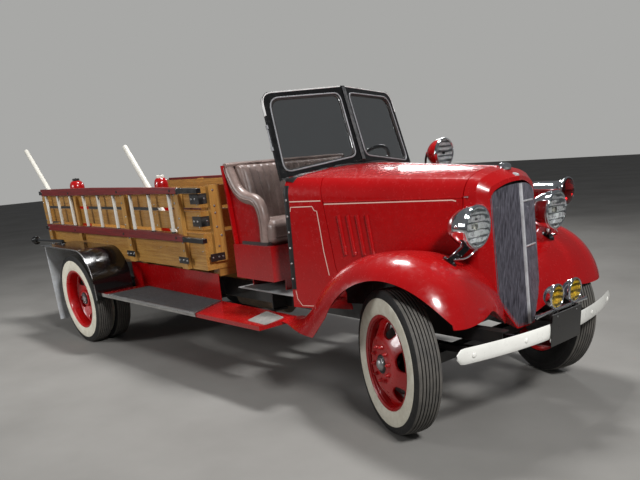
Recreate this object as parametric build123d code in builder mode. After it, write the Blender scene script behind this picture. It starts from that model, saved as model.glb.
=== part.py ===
"""Open-cab fire engine of the 1930s: a truck chassis with dual rear wheels, a hinged two-fold hood,
a V windshield on a short cowl, one bench seat and a wooden stake bed that carries a ladder on each side.

Millimetres, +X forward, +Y to the vehicle's left, +Z up. The origin is on the floor, midway between the
front plate and the tail lamps. The front wheels stand steered to the vehicle's right.
"""
import math
import os

from build123d import *

os.makedirs("parts", exist_ok=True)

# Overall stance
FRONT_AXLE_X = 2297
REAR_AXLE_X = -1440
HUB_Z = 410
REST_STEER = -23.2
FRONT_END_X = 2865
REAR_END_X = -2865
PIN_CLEARANCE = 0.25
SEAT_GAP = 0.3
SHEET = 4

# Tyres and wheels: a wheel's own outline is given along its axle (outward positive) and by radius
TYRE_RADIUS = 410
TYRE_HALF_WIDTH = 78
BEAD_RADIUS = 258
BEAD_HALF_WIDTH = 56
RIM_HALF_WIDTH = 72
RIM_THICKNESS = 7
RIM_FLANGE_RADIUS = 270
DISC_THICKNESS = 8
DISC_OFFSET = 86
DISC_FLAT_RADIUS = 128
HAND_HOLE_RADIUS = 34
HAND_HOLE_CIRCLE = 203
HAND_HOLES = 6
DUAL_SPACING = 2 * DISC_OFFSET + DISC_THICKNESS

# Front suspension
KINGPIN_Y = 606
WHEEL_FROM_KINGPIN = 115
KINGPIN_RADIUS = 14
KINGPIN_BOSS_RADIUS = 32
KINGPIN_BOSS_HALF = 38
KNUCKLE_EAR = 18
KNUCKLE_PLATE_Y = 38
KNUCKLE_PLATE = 7
FRONT_SPINDLE_RADIUS = 27
STEERING_ARM = 150
TIE_ROD_DROP = 72
TIE_ROD_RADIUS = 12
AXLE_BEAM_WIDTH = 60
AXLE_BEAM_DROP_Z = 330
SPRING_SEAT_Z = 395

# Rear suspension
REAR_WHEEL_Y = 962
REAR_SPINDLE_RADIUS = 38
REAR_TUBE_RADIUS = 45
REAR_DRUM_RADIUS = 205
REAR_SPRING_Y = 480
DIFFERENTIAL_RADIUS = 165

# Chassis frame
RAIL_Y = 370
RAIL_WIDTH = 65
RAIL_BOTTOM_Z = 490
RAIL_TOP_Z = 640
RAIL_THICKNESS = 7
FRAME_REAR_X = -2650
FRAME_FRONT_X = 2700
HORN_X = 2440
HORN_TOP_Z = 562
CROSS_TOP_Z = 600

# Cowl, hood and radiator shell: stations of the body's outline
COWL_REAR_X = 1265
SEAM_TOP_X = 1523
SEAM_SLOPE = 0.15
SEAM_TOP_Z = 1350
SEAM_KNEE_Z = 850
SEAM_KNEE_SLOPE = 0.42
SEAM_GAP = 5
HOOD_FRONT_X = 2390
HOOD_BOTTOM_Z = 720
COWL_BOTTOM_Z = 579
BELT_Z = 1245
HINGE_RADIUS = 6
FLOOR_Z = RAIL_TOP_Z

# Grille bars
GRILLE_BAR_PITCH = 14
GRILLE_BAR_WIDTH = 5

# Front fenders: the crown's path in side view
CROWN_TOP_Z = 1000
CROWN_FRONT_X = 2260
CROWN_FRONT_RADIUS = 440
CROWN_FRONT_ANGLE = -4
CROWN_FLAT = 40
CROWN_REAR_RADIUS = 670
CROWN_REAR_ANGLE = 48
TAIL_RADIUS = 480
TAIL_Z = 515
FENDER_CROWN_Y = 650
FENDER_INNER_Y = 120
FENDER_INNER_DROP = 138
FENDER_EDGE_Z = 650
FENDER_LIP_Y = 880
HOOD_ROOM = 37.5
HOOD_FOOT_X = 1640
WHEEL_OPENING_RADIUS = 467
WHEEL_OPENING_Z = 420

# Rear fenders
REAR_FENDER_FRONT_X = -958
REAR_FENDER_BOTTOM_Z = 456
REAR_FENDER_TOP_Z = 884
REAR_FENDER_END_X = -2095
REAR_FENDER_RADIUS = 285
REAR_FENDER_INNER_Y = 700.3
REAR_FENDER_OUTER_Y = 1060

# Running boards and aprons
BOARD_BOTTOM_Z = 485
BOARD_TOP_Z = 515
BOARD_INNER_Y = 604
BOARD_REAR_X = REAR_FENDER_FRONT_X + 8
BOARD_REAR_Y = 1000
BOARD_FRONT_Y = 922
APRON_Y = 600
APRON_TOP_Z = 722
APRON_FRONT_X = 360
APRON_REAR_X = -1100

# Bed
BED_FRONT_X = 380
BED_REAR_X = -2730
BED_Y = 700
BED_BOTTOM_Z = 764
BED_FLOOR = 36
BOARD = 25
STAKE_DEPTH = 35
STAKE_WIDTH = 82
BED_TOP_Z = 1372

# Ladders
LADDER_REAR_X = -2600
LADDER_FRONT_X = 484
LADDER_RAIL_DEPTH = 40
LADDER_RAIL_HEIGHT = 64
LADDER_LOW_Z = 1010
LADDER_HIGH_Z = 1358
LADDER_RUNG_RADIUS = 14
LADDER_RUNGS = 9
LADDER_RUNG_REAR_X = -2524
LADDER_RUNG_PITCH = 322

# Windshield: corners of the left half's outer edge
SHIELD_FOOT = Vector(1364, 0, 1453)
SHIELD_PEAK = Vector(1199, 0, 1927)
SHIELD_TOP_Y = 579
SHIELD_FOOT_Y = 617
SHIELD_FRAME = 46
SHIELD_THICKNESS = 28
GLASS_THICKNESS = 6

# Steering column
WHEEL_CENTRE = Vector(1085, 330, 1395)
COLUMN_ANGLE = 40
COLUMN_LENGTH = 1090
COLUMN_RADIUS = 22
STEERING_WHEEL_RADIUS = 200

# Seat
SEAT_REAR_X = 610
SEAT_FRONT_X = 1050
SEAT_Y = 600
SEAT_BOX_TOP_Z = 960
SEAT_BOX_BOTTOM_Z = 720
CUSHION_TOP_Z = 1128

# Lamps
HEADLAMP = Vector(2558, -391, 1107)
HEADLAMP_RADIUS = 113
HEADLAMP_DEPTH = 190


def block(x, y, z, mode=Mode.ADD):
    """A block between the lowest and highest value along each axis."""
    with Locations(((x[0] + x[1]) / 2, (y[0] + y[1]) / 2, (z[0] + z[1]) / 2)):
        Box(x[1] - x[0], y[1] - y[0], z[1] - z[0], mode=mode)


def rod(start, end, radius, mode=Mode.ADD):
    """A round bar from one point to another."""
    start, end = Vector(*start), Vector(*end)
    with Locations(Plane(origin=start, z_dir=end - start)):
        Cylinder(radius, (end - start).length, align=(Align.CENTER, Align.CENTER, Align.MIN), mode=mode)


def turned(outline, centre, direction, mode=Mode.ADD):
    """Turn closed outlines, each a list of (along the axis, radius) points, about an axis."""
    direction = Vector(*direction).normalized()
    across = Vector(1, 0, 0) if abs(direction.Z) > 0.9 else Vector(0, 0, 1)
    with BuildSketch(Plane(origin=centre, x_dir=direction, z_dir=direction.cross(across))) as section:
        for points in outline:
            with BuildLine():
                Polyline(*points, close=True)
            make_face()
    revolve(section.sketch, axis=Axis(centre, direction), mode=mode)


def band(low, high, inner, outer):
    """The outline of a ring: from low to high along the axis, between two radii."""
    return [(low, inner), (high, inner), (high, outer), (low, outer)]


def side_sheet(points, y_low, y_high, mode=Mode.ADD):
    """A plate with a side-view outline of (x, z) points, between two values of y."""
    with BuildSketch(Plane(origin=(0, y_high, 0), x_dir=(1, 0, 0), z_dir=(0, -1, 0))) as outline:
        with BuildLine():
            Polyline(*points, close=True)
        make_face()
    extrude(outline.sketch, amount=y_high - y_low, mode=mode)


def plan_sheet(points, z_low, z_high, mode=Mode.ADD):
    """A plate with a plan outline of (x, y) points, between two heights."""
    with BuildSketch(Plane.XY.offset(z_low)) as outline:
        with BuildLine():
            Polyline(*points, close=True)
        make_face()
    extrude(outline.sketch, amount=z_high - z_low, mode=mode)


def body_half_width(x):
    """Half the width of the cowl, hood and shell at a station, from three stations in the plan view."""
    stations = [(COWL_REAR_X, 615), (SEAM_TOP_X, 548), (HOOD_FRONT_X, 290)]
    (x0, w0), (x1, w1) = stations[:2] if x < SEAM_TOP_X else stations[1:]
    return w0 + (w1 - w0) * (x - x0) / (x1 - x0)


def body_top(x):
    """Height of the hood's centre line at a station."""
    stations = [(COWL_REAR_X, 1446), (SEAM_TOP_X, 1432), (HOOD_FRONT_X, 1383)]
    (x0, z0), (x1, z1) = stations[:2] if x < SEAM_TOP_X else stations[1:]
    return z0 + (z1 - z0) * (x - x0) / (x1 - x0)


def body_edge(half_width, top, bottom, grow=0):
    """The outer line of the body's section, from the right foot over the top to the left foot."""
    w, t = half_width + grow, top + grow
    for side in (-1, 1):
        Line((side * w, bottom), (side * w, t - 170))
        ThreePointArc((side * w, t - 170), (side * (w - 10), t - 100), (side * (w - 45), t - 48))
        ThreePointArc((side * (w - 45), t - 48), (side * w * 0.5, t - 12), (0, t))


def body_loft(stations, bottom, grow=0, mode=Mode.ADD):
    """The solid inside the body's outline along its stations."""
    sections = []
    for x in stations:
        with BuildSketch(Plane.YZ.offset(x)) as section:
            with BuildLine():
                w = body_half_width(x)
                body_edge(w, body_top(x), bottom, grow)
                Line((-w - grow, bottom), (w + grow, bottom))
            make_face()
        sections.append(section.sketch)
    loft(sections, ruled=True, mode=mode)


def crown_path():
    """The fender crown's path in side view, from the front edge to the running board."""
    front = (CROWN_FRONT_X, CROWN_TOP_Z - CROWN_FRONT_RADIUS)
    turn = math.radians(CROWN_REAR_ANGLE)
    flat_end = CROWN_FRONT_X - CROWN_FLAT
    rear = (flat_end - CROWN_REAR_RADIUS * math.sin(turn),
            CROWN_TOP_Z - CROWN_REAR_RADIUS * (1 - math.cos(turn)))
    drop = rear[1] - TAIL_Z - TAIL_RADIUS * (1 - math.cos(turn))
    knee = (rear[0] - drop / math.tan(turn), rear[1] - drop)
    tail_x = knee[0] - TAIL_RADIUS * math.sin(turn)
    CenterArc(front, CROWN_FRONT_RADIUS, CROWN_FRONT_ANGLE, 90 - CROWN_FRONT_ANGLE)
    Line((CROWN_FRONT_X, CROWN_TOP_Z), (flat_end, CROWN_TOP_Z))
    CenterArc((flat_end, CROWN_TOP_Z - CROWN_REAR_RADIUS), CROWN_REAR_RADIUS, 90, CROWN_REAR_ANGLE)
    Line(rear, knee)
    CenterArc((tail_x, TAIL_Z + TAIL_RADIUS), TAIL_RADIUS, -90, CROWN_REAR_ANGLE)
    return tail_x


SIDE_VIEW = Plane(origin=(0, 0, 0), x_dir=(1, 0, 0), z_dir=(0, -1, 0))

# Chassis frame: two channel rails with cross members, spring hangers and running board outriggers
CROSS_MEMBERS = [-2600, -1950, -900, 100, 1000, 2385]
OUTRIGGERS = [-700, 60, 860]
with BuildPart() as chassis_frame:
    block((FRAME_REAR_X, FRAME_FRONT_X), (-RAIL_Y, -RAIL_Y + RAIL_WIDTH), (RAIL_BOTTOM_Z, RAIL_TOP_Z))
    block((FRAME_REAR_X, FRAME_FRONT_X), (-RAIL_Y + RAIL_THICKNESS, -RAIL_Y + RAIL_WIDTH),
          (RAIL_BOTTOM_Z + RAIL_THICKNESS, RAIL_TOP_Z - RAIL_THICKNESS), mode=Mode.SUBTRACT)
    for x in CROSS_MEMBERS:
        block((x - 35, x + 35), (-RAIL_Y + RAIL_THICKNESS, 0), (530, 545))
        block((x - 35, x - 28), (-RAIL_Y + RAIL_THICKNESS, 0), (530, CROSS_TOP_Z))
        block((x + 28, x + 35), (-RAIL_Y + RAIL_THICKNESS, 0), (530, CROSS_TOP_Z))
    for x in OUTRIGGERS:
        block((x - 25, x + 25), (-900, -RAIL_Y - SEAT_GAP), (BOARD_BOTTOM_Z - 14, BOARD_BOTTOM_Z))
        block((x - 4, x + 4), (-RAIL_Y - 120, -RAIL_Y - SEAT_GAP), (BOARD_BOTTOM_Z, RAIL_TOP_Z - 20))
    block((HORN_X, FRAME_FRONT_X + 1), (-RAIL_Y - 1, -RAIL_Y + RAIL_WIDTH + 1),
          (HORN_TOP_Z, RAIL_TOP_Z + 1), mode=Mode.SUBTRACT)
    block((HORN_X - 7, FRAME_FRONT_X), (-RAIL_Y, -RAIL_Y + RAIL_WIDTH), (HORN_TOP_Z - 7, HORN_TOP_Z))
    mirror(about=Plane.XZ)

# Front axle: a dropped beam between the two kingpin bosses
with BuildPart() as front_axle:
    with BuildSketch(Plane.YZ.offset(FRONT_AXLE_X - AXLE_BEAM_WIDTH / 2)):
        with BuildLine():
            Polyline((0, AXLE_BEAM_DROP_Z), (-430, AXLE_BEAM_DROP_Z), (-KINGPIN_Y + 64, HUB_Z - KINGPIN_BOSS_HALF),
                     (-KINGPIN_Y, HUB_Z - KINGPIN_BOSS_HALF), (-KINGPIN_Y, HUB_Z + KINGPIN_BOSS_HALF),
                     (-KINGPIN_Y + 60, HUB_Z + KINGPIN_BOSS_HALF), (-470, SPRING_SEAT_Z), (0, SPRING_SEAT_Z),
                     close=True)
        make_face()
    extrude(amount=AXLE_BEAM_WIDTH)
    rod((FRONT_AXLE_X, -KINGPIN_Y, HUB_Z - KINGPIN_BOSS_HALF),
        (FRONT_AXLE_X, -KINGPIN_Y, HUB_Z + KINGPIN_BOSS_HALF), KINGPIN_BOSS_RADIUS)
    mirror(about=Plane.XZ)
    for side in (-1, 1):
        rod((FRONT_AXLE_X, side * KINGPIN_Y, HUB_Z - 100), (FRONT_AXLE_X, side * KINGPIN_Y, HUB_Z + 100),
            KINGPIN_RADIUS + PIN_CLEARANCE, mode=Mode.SUBTRACT)


def leaf_spring(axle_x, y, half_length, eye_z, seat_z, thickness, width):
    """A leaf pack in side view: thick at the axle, thin at its eyes."""
    with BuildSketch(Plane(origin=(axle_x, y + width / 2, 0), x_dir=(1, 0, 0), z_dir=(0, -1, 0))) as side:
        with BuildLine():
            ThreePointArc((-half_length, eye_z + 5), (0, seat_z + thickness), (half_length, eye_z + 5))
            Line((half_length, eye_z + 5), (half_length, eye_z - 5))
            ThreePointArc((half_length, eye_z - 5), (0, seat_z), (-half_length, eye_z - 5))
            Line((-half_length, eye_z - 5), (-half_length, eye_z + 5))
        make_face()
        with Locations((-half_length, eye_z), (half_length, eye_z)):
            Circle(15)
    extrude(side.sketch, amount=width)


# Springs: each pack with its hangers, all carried by the rails
with BuildPart() as leaf_springs:
    leaf_spring(FRONT_AXLE_X, -338, 375, 466, SPRING_SEAT_Z, 38, 50)
    for x in (FRONT_AXLE_X - 375, FRONT_AXLE_X + 375):
        block((x - 12, x + 12), (-363, -313), (470, RAIL_BOTTOM_Z))
    leaf_spring(REAR_AXLE_X, -REAR_SPRING_Y, 600, 545, HUB_Z + REAR_TUBE_RADIUS + 12, 52, 60)
    for x in (REAR_AXLE_X - 600, REAR_AXLE_X + 600):
        block((x - 18, x + 18), (-REAR_SPRING_Y - 34, -RAIL_Y), (550, 590))
    block((REAR_AXLE_X - 60, REAR_AXLE_X + 60), (-REAR_SPRING_Y - 34, -REAR_SPRING_Y + 34),
          (HUB_Z + REAR_TUBE_RADIUS, HUB_Z + REAR_TUBE_RADIUS + 14))
    mirror(about=Plane.XZ)

# Rear axle: differential, tubes, backing plates and spindles
with BuildPart() as rear_axle:
    centre = (REAR_AXLE_X, 0, HUB_Z)
    turned([[(-70, 0), (70, 0), (70, 110), (35, DIFFERENTIAL_RADIUS), (-35, DIFFERENTIAL_RADIUS), (-70, 110)]],
           centre, (0, 1, 0))
    rod(centre, (REAR_AXLE_X + 250, 0, HUB_Z + 5), 62)
    inner_face = REAR_WHEEL_Y - DUAL_SPACING - 68
    rod((REAR_AXLE_X, -inner_face, HUB_Z), (REAR_AXLE_X, inner_face, HUB_Z), REAR_TUBE_RADIUS)
    rod((REAR_AXLE_X, -REAR_WHEEL_Y - 4, HUB_Z), (REAR_AXLE_X, REAR_WHEEL_Y + 4, HUB_Z), REAR_SPINDLE_RADIUS)
    for side in (-1, 1):
        rod((REAR_AXLE_X, side * (inner_face - 6), HUB_Z), (REAR_AXLE_X, side * inner_face, HUB_Z), 198)

with BuildPart() as drive_shaft:
    rod((REAR_AXLE_X + 252, 0, HUB_Z + 5), (1108, 0, 480), 38)

# Engine and gearbox as plain blocks, the radiator core ahead of them
with BuildPart() as engine_block:
    block((1590, 2250), (-190, 190), (560, 1210))
    block((1640, 2200), (-150, 150), (430, 560))
    block((1110, 1590), (-130, 130), (420, 640))
    rod((2250, 0, 760), (2300, 0, 760), 60)
    rod((2300, 0, 760), (2312, 0, 760), 190)

with BuildPart() as radiator_core:
    block((2325, 2382), (-255, 255), (CROSS_TOP_Z, 1240))

EXHAUST_Y = -210
EXHAUST_Z = 455
EXHAUST_RADIUS = 24
SILENCER_RADIUS = 75
HANGER_X = (375, 425)
with BuildPart() as exhaust:
    rod((1560, EXHAUST_Y, 560), (1560, EXHAUST_Y, EXHAUST_Z + 15), EXHAUST_RADIUS)
    rod((1560, EXHAUST_Y, EXHAUST_Z + 15), (700, EXHAUST_Y, EXHAUST_Z), EXHAUST_RADIUS)
    rod((700, EXHAUST_Y, EXHAUST_Z), (100, EXHAUST_Y, EXHAUST_Z), SILENCER_RADIUS)
    rod((100, EXHAUST_Y, EXHAUST_Z), (-700, EXHAUST_Y, EXHAUST_Z), EXHAUST_RADIUS)
    block(HANGER_X, (-RAIL_Y + RAIL_WIDTH, EXHAUST_Y + 20), (EXHAUST_Z + 35, EXHAUST_Z + SILENCER_RADIUS - 2))


def tyre_sketch(plane):
    """A tyre's section: along the axle, and by radius."""
    with BuildSketch(plane) as section:
        with BuildLine():
            Line((-BEAD_HALF_WIDTH, BEAD_RADIUS), (BEAD_HALF_WIDTH, BEAD_RADIUS))
            for side in (-1, 1):
                ThreePointArc((side * BEAD_HALF_WIDTH, BEAD_RADIUS),
                              (side * TYRE_HALF_WIDTH, BEAD_RADIUS + 75),
                              (side * (TYRE_HALF_WIDTH - 9), TYRE_RADIUS - 22))
                Line((side * (TYRE_HALF_WIDTH - 9), TYRE_RADIUS - 22),
                     (side * (TYRE_HALF_WIDTH - 20), TYRE_RADIUS - 6))
                Line((side * (TYRE_HALF_WIDTH - 20), TYRE_RADIUS - 6), (0, TYRE_RADIUS))
        make_face()
    return section.sketch


def wheel_plane(centre):
    """The plane of a wheel's section: x outward to the right side of the vehicle, y up."""
    return Plane(origin=centre, x_dir=(0, -1, 0), z_dir=(-1, 0, 0))


def disc_outline(dish):
    """Rim and dished disc: dish is +1 where the flat stands outward, -1 where it stands inward."""
    flat, edge = DISC_OFFSET, 24
    rim = BEAD_RADIUS - SEAT_GAP
    disc = [(edge - DISC_THICKNESS / 2, rim - 3), (edge + DISC_THICKNESS / 2, rim - 3),
            (flat - 8, DISC_FLAT_RADIUS + 38), (flat + DISC_THICKNESS / 2, DISC_FLAT_RADIUS),
            (flat + DISC_THICKNESS / 2, 40), (flat - DISC_THICKNESS / 2, 40),
            (flat - DISC_THICKNESS / 2, DISC_FLAT_RADIUS - 4), (flat - 18, DISC_FLAT_RADIUS + 34)]
    outlines = [band(-RIM_HALF_WIDTH, RIM_HALF_WIDTH, rim - RIM_THICKNESS, rim)]
    for side in (-1, 1):
        outlines.append(band(*sorted((side * (RIM_HALF_WIDTH - 7), side * RIM_HALF_WIDTH)),
                             rim - RIM_THICKNESS, RIM_FLANGE_RADIUS))
    outlines.append([(dish * t, r) for t, r in disc])
    return outlines


def hand_holes(centre):
    """Round hand holes through the disc near its rim."""
    with Locations(Plane(origin=centre, x_dir=(1, 0, 0), z_dir=(0, -1, 0))):
        with PolarLocations(HAND_HOLE_CIRCLE, HAND_HOLES, start_angle=15):
            Cylinder(HAND_HOLE_RADIUS, 300, mode=Mode.SUBTRACT)


# Right front corner, built with the wheel straight ahead
straight_hub = Vector(FRONT_AXLE_X, -KINGPIN_Y - WHEEL_FROM_KINGPIN, HUB_Z)
RIGHT = Vector(0, -1, 0)
with BuildPart() as straight_tyre:
    revolve(tyre_sketch(wheel_plane(straight_hub)), axis=Axis(straight_hub, RIGHT))

SPINDLE_END = 60
with BuildPart() as straight_wheel:
    turned(disc_outline(1) + [
        band(-62, DISC_OFFSET + 18, 40, 66),
        band(-20, DISC_OFFSET + 14, 0, 56),
        band(DISC_OFFSET + 14, DISC_OFFSET + 30, 0, 50),
        band(-8, 0, 60, 190),
        band(-66, 0, 182, 190)], straight_hub, RIGHT)
    hand_holes(straight_hub + RIGHT * 30)
    turned([band(-70, SPINDLE_END + 3, 0, FRONT_SPINDLE_RADIUS + PIN_CLEARANCE)], straight_hub, RIGHT,
           mode=Mode.SUBTRACT)

with BuildPart() as straight_knuckle:
    kingpin = (FRONT_AXLE_X, -KINGPIN_Y)
    reach = KINGPIN_BOSS_HALF + 2
    rod((*kingpin, HUB_Z - reach - KNUCKLE_EAR), (*kingpin, HUB_Z + reach + KNUCKLE_EAR), KINGPIN_RADIUS)
    for low in (HUB_Z - reach - KNUCKLE_EAR, HUB_Z + reach):
        rod((*kingpin, low), (*kingpin, low + KNUCKLE_EAR), KINGPIN_BOSS_RADIUS)
        block((FRONT_AXLE_X - KINGPIN_BOSS_RADIUS, FRONT_AXLE_X + KINGPIN_BOSS_RADIUS),
              (-KINGPIN_Y - KNUCKLE_PLATE_Y - KNUCKLE_PLATE, -KINGPIN_Y), (low, low + KNUCKLE_EAR))
    plate_y = -KINGPIN_Y - KNUCKLE_PLATE_Y
    rod((FRONT_AXLE_X, plate_y, HUB_Z), (FRONT_AXLE_X, plate_y - KNUCKLE_PLATE, HUB_Z), 178)
    rod((FRONT_AXLE_X, plate_y, HUB_Z), straight_hub + RIGHT * SPINDLE_END, FRONT_SPINDLE_RADIUS)
    arm_z = HUB_Z - reach - KNUCKLE_EAR
    block((FRONT_AXLE_X - STEERING_ARM, FRONT_AXLE_X), (-KINGPIN_Y - 14, -KINGPIN_Y + 14),
          (arm_z, arm_z + KNUCKLE_EAR))
    rod((FRONT_AXLE_X - STEERING_ARM, -KINGPIN_Y, arm_z - 30),
        (FRONT_AXLE_X - STEERING_ARM, -KINGPIN_Y, arm_z + KNUCKLE_EAR), 9)

KINGPIN_RIGHT = Axis((FRONT_AXLE_X, -KINGPIN_Y, 0), (0, 0, 1))
KINGPIN_LEFT = Axis((FRONT_AXLE_X, KINGPIN_Y, 0), (0, 0, 1))
with BuildPart() as tyre_front_right:
    add(straight_tyre.part.rotate(KINGPIN_RIGHT, REST_STEER))
with BuildPart() as tyre_front_left:
    add(straight_tyre.part.mirror(Plane.XZ).rotate(KINGPIN_LEFT, REST_STEER))
with BuildPart() as wheel_front_right:
    add(straight_wheel.part.rotate(KINGPIN_RIGHT, REST_STEER))
with BuildPart() as wheel_front_left:
    add(straight_wheel.part.mirror(Plane.XZ).rotate(KINGPIN_LEFT, REST_STEER))
with BuildPart() as knuckle_right:
    add(straight_knuckle.part.rotate(KINGPIN_RIGHT, REST_STEER))
with BuildPart() as knuckle_left:
    add(straight_knuckle.part.mirror(Plane.XZ).rotate(KINGPIN_LEFT, REST_STEER))

# Tie rod between the two steering arms, which stay parallel
steer = math.radians(REST_STEER)
ARM_X = FRONT_AXLE_X - STEERING_ARM * math.cos(steer)
ARM_SHIFT_Y = -STEERING_ARM * math.sin(steer)
with BuildPart() as tie_rod:
    eye_top = HUB_Z - KINGPIN_BOSS_HALF - 2 - KNUCKLE_EAR - 2
    ends = [(ARM_X, side * KINGPIN_Y + ARM_SHIFT_Y) for side in (-1, 1)]
    rod((*ends[0], eye_top - 13), (*ends[1], eye_top - 13), TIE_ROD_RADIUS)
    for x, y in ends:
        rod((x, y, eye_top - 26), (x, y, eye_top), 20)
    for x, y in ends:
        rod((x, y, eye_top - 40), (x, y, eye_top + 1), 9 + PIN_CLEARANCE, mode=Mode.SUBTRACT)

# Right rear duals: two tyres, and two wheels on one hub with its drum
rear_hub = Vector(REAR_AXLE_X, -REAR_WHEEL_Y, HUB_Z)
with BuildPart() as tyres_rear_right:
    for inward in (0, DUAL_SPACING):
        revolve(tyre_sketch(wheel_plane(rear_hub - RIGHT * inward)), axis=Axis(rear_hub, RIGHT))
with BuildPart() as wheels_rear_right:
    turned(disc_outline(-1), rear_hub, RIGHT)
    turned(disc_outline(1), rear_hub - RIGHT * DUAL_SPACING, RIGHT)
    turned([band(-DUAL_SPACING - 55, 14, 45, 78),
            band(-30, 22, 0, 58),
            band(-DUAL_SPACING + 52, -DUAL_SPACING + 60, 70, REAR_DRUM_RADIUS),
            band(-DUAL_SPACING - 64, -DUAL_SPACING + 60, REAR_DRUM_RADIUS - 9, REAR_DRUM_RADIUS)],
           rear_hub, RIGHT)
    hand_holes(rear_hub - RIGHT * 55)
    turned([band(-DUAL_SPACING - 70, 6, 0, REAR_SPINDLE_RADIUS + PIN_CLEARANCE)], rear_hub, RIGHT,
           mode=Mode.SUBTRACT)
with BuildPart() as tyres_rear_left:
    mirror(tyres_rear_right.part, about=Plane.XZ)
with BuildPart() as wheels_rear_left:
    mirror(wheels_rear_right.part, about=Plane.XZ)


def seam_cut(gap, keep_front, mode=Mode.INTERSECT):
    """Everything ahead of the slanted cowl seam, which turns forward at its foot, or behind it."""
    top, bottom, far = 2000, 300, 3000 if keep_front else 0
    line = [(SEAM_TOP_X + gap + SEAM_SLOPE * (SEAM_TOP_Z - z), z) for z in (SEAM_KNEE_Z, top)]
    foot = (line[0][0] + SEAM_KNEE_SLOPE * (SEAM_KNEE_Z - bottom), bottom)
    side_sheet([foot, line[0], line[1], (far, top), (far, bottom)], -900, 900, mode=mode)


# Cowl: a sheet shell with a firewall, its front edge on the slanted seam
FIREWALL_X = 1490
with BuildPart() as cowl:
    body_loft([COWL_REAR_X, SEAM_TOP_X, 1700], COWL_BOTTOM_Z)
    body_loft([COWL_REAR_X, SEAM_TOP_X, 1700], COWL_BOTTOM_Z, grow=-SHEET, mode=Mode.SUBTRACT)
    block((COWL_REAR_X - 1, 1701), (-570, 570), (COWL_BOTTOM_Z - 10, COWL_BOTTOM_Z + 10), mode=Mode.SUBTRACT)
    seam_cut(0, keep_front=False)

with BuildPart() as firewall:
    with BuildSketch(Plane.YZ.offset(FIREWALL_X)):
        with BuildLine():
            w = body_half_width(FIREWALL_X)
            body_edge(w, body_top(FIREWALL_X), FLOOR_Z + SHEET, grow=-SHEET - 2)
            Line((-w + SHEET + 2, FLOOR_Z + SHEET), (w - SHEET - 2, FLOOR_Z + SHEET))
        make_face()
    extrude(amount=SHEET)
    with BuildSketch(Plane.YZ.offset(COWL_REAR_X + 12)):
        with BuildLine():
            w = body_half_width(COWL_REAR_X + 12)
            body_edge(w, body_top(COWL_REAR_X + 12), 1255, grow=-SHEET - 2)
            Line((-w + SHEET + 2, 1255), (w - SHEET - 2, 1255))
        make_face()
    extrude(amount=SHEET)

# Hood: two folded halves on a centre hinge rod, with upright louvres on the sides
LOUVRES = [1640, 1701, 1762, 1823]
LOUVRE_Z = (930, 1165)
LOUVRE_RADIUS = 13
HINGE_DROP = 2
hinge_rear = Vector(SEAM_TOP_X, 0, body_top(SEAM_TOP_X) - HINGE_DROP)
hinge_front = Vector(HOOD_FRONT_X, 0, body_top(HOOD_FRONT_X) - HINGE_DROP)
belt_rear = Vector(SEAM_TOP_X, -body_half_width(SEAM_TOP_X) + SHEET / 2, BELT_Z)
belt_front = Vector(HOOD_FRONT_X, -body_half_width(HOOD_FRONT_X) + SHEET / 2 + 2, BELT_Z)
with BuildPart() as hood_shell:
    body_loft([SEAM_TOP_X - 60, SEAM_TOP_X, HOOD_FRONT_X - SEAM_GAP], HOOD_BOTTOM_Z)
    body_loft([SEAM_TOP_X - 60, SEAM_TOP_X, HOOD_FRONT_X - SEAM_GAP], HOOD_BOTTOM_Z, grow=-SHEET,
              mode=Mode.SUBTRACT)
    block((1400, 2400), (-500, 500), (HOOD_BOTTOM_Z - 10, HOOD_BOTTOM_Z + SHEET + 5), mode=Mode.SUBTRACT)
    seam_cut(SEAM_GAP, keep_front=True)
hood_line = (hinge_front - hinge_rear).normalized()
belt_line = (belt_front - belt_rear).normalized()
with BuildPart() as hood_top_right:
    add(hood_shell.part)
    block((1400, 2500), (-900, -0.5), (BELT_Z, 1600), mode=Mode.INTERSECT)
    rod(hinge_rear - hood_line * 50, hinge_front + hood_line * 50, HINGE_RADIUS + SEAT_GAP, mode=Mode.SUBTRACT)
    rod(belt_rear + belt_line * (SEAM_GAP + 22), belt_front - belt_line * (SEAM_GAP + 6), HINGE_RADIUS)
with BuildPart() as hood_side_right:
    add(hood_shell.part)
    for x in LOUVRES:
        foot_x = x + SEAM_SLOPE * (LOUVRE_Z[1] - LOUVRE_Z[0])
        rod((foot_x, -body_half_width(foot_x) + 2, LOUVRE_Z[0]), (x, -body_half_width(x) + 2, LOUVRE_Z[1]),
            LOUVRE_RADIUS)
    block((1400, 2500), (-900, 0), (HOOD_BOTTOM_Z - 20, BELT_Z), mode=Mode.INTERSECT)
    rod(belt_rear - belt_line * 60, belt_front + belt_line * 60, HINGE_RADIUS + SEAT_GAP, mode=Mode.SUBTRACT)
with BuildPart() as hood_top_left:
    mirror(hood_top_right.part, about=Plane.XZ)
with BuildPart() as hood_side_left:
    mirror(hood_side_right.part, about=Plane.XZ)

# Radiator shell: the right half's sections, from the hood's front outline to the leaning grille opening
SHELL_SECTIONS = [
    # foot x, foot z, top x, top z, side set back, half width, foot half width, knee height,
    # corner: side end drop, middle inset and drop, end inset and drop, crown drop
    (HOOD_FRONT_X, 645, HOOD_FRONT_X, 1383, 0, 290, 210, 95, (170, 10, 100, 45, 48, 12)),
    (2508, 575, 2466, 1370, 22, 262, 150, 130, (124, 9, 76, 42, 38, 11)),
    (2639, 509, 2544, 1328, 55, 228, 93, 187, (80, 7, 52, 34, 30, 8)),
]
SHELL_RIM = 22
SHELL_WALL = 8
GRILLE_ROOM = 3


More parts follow.
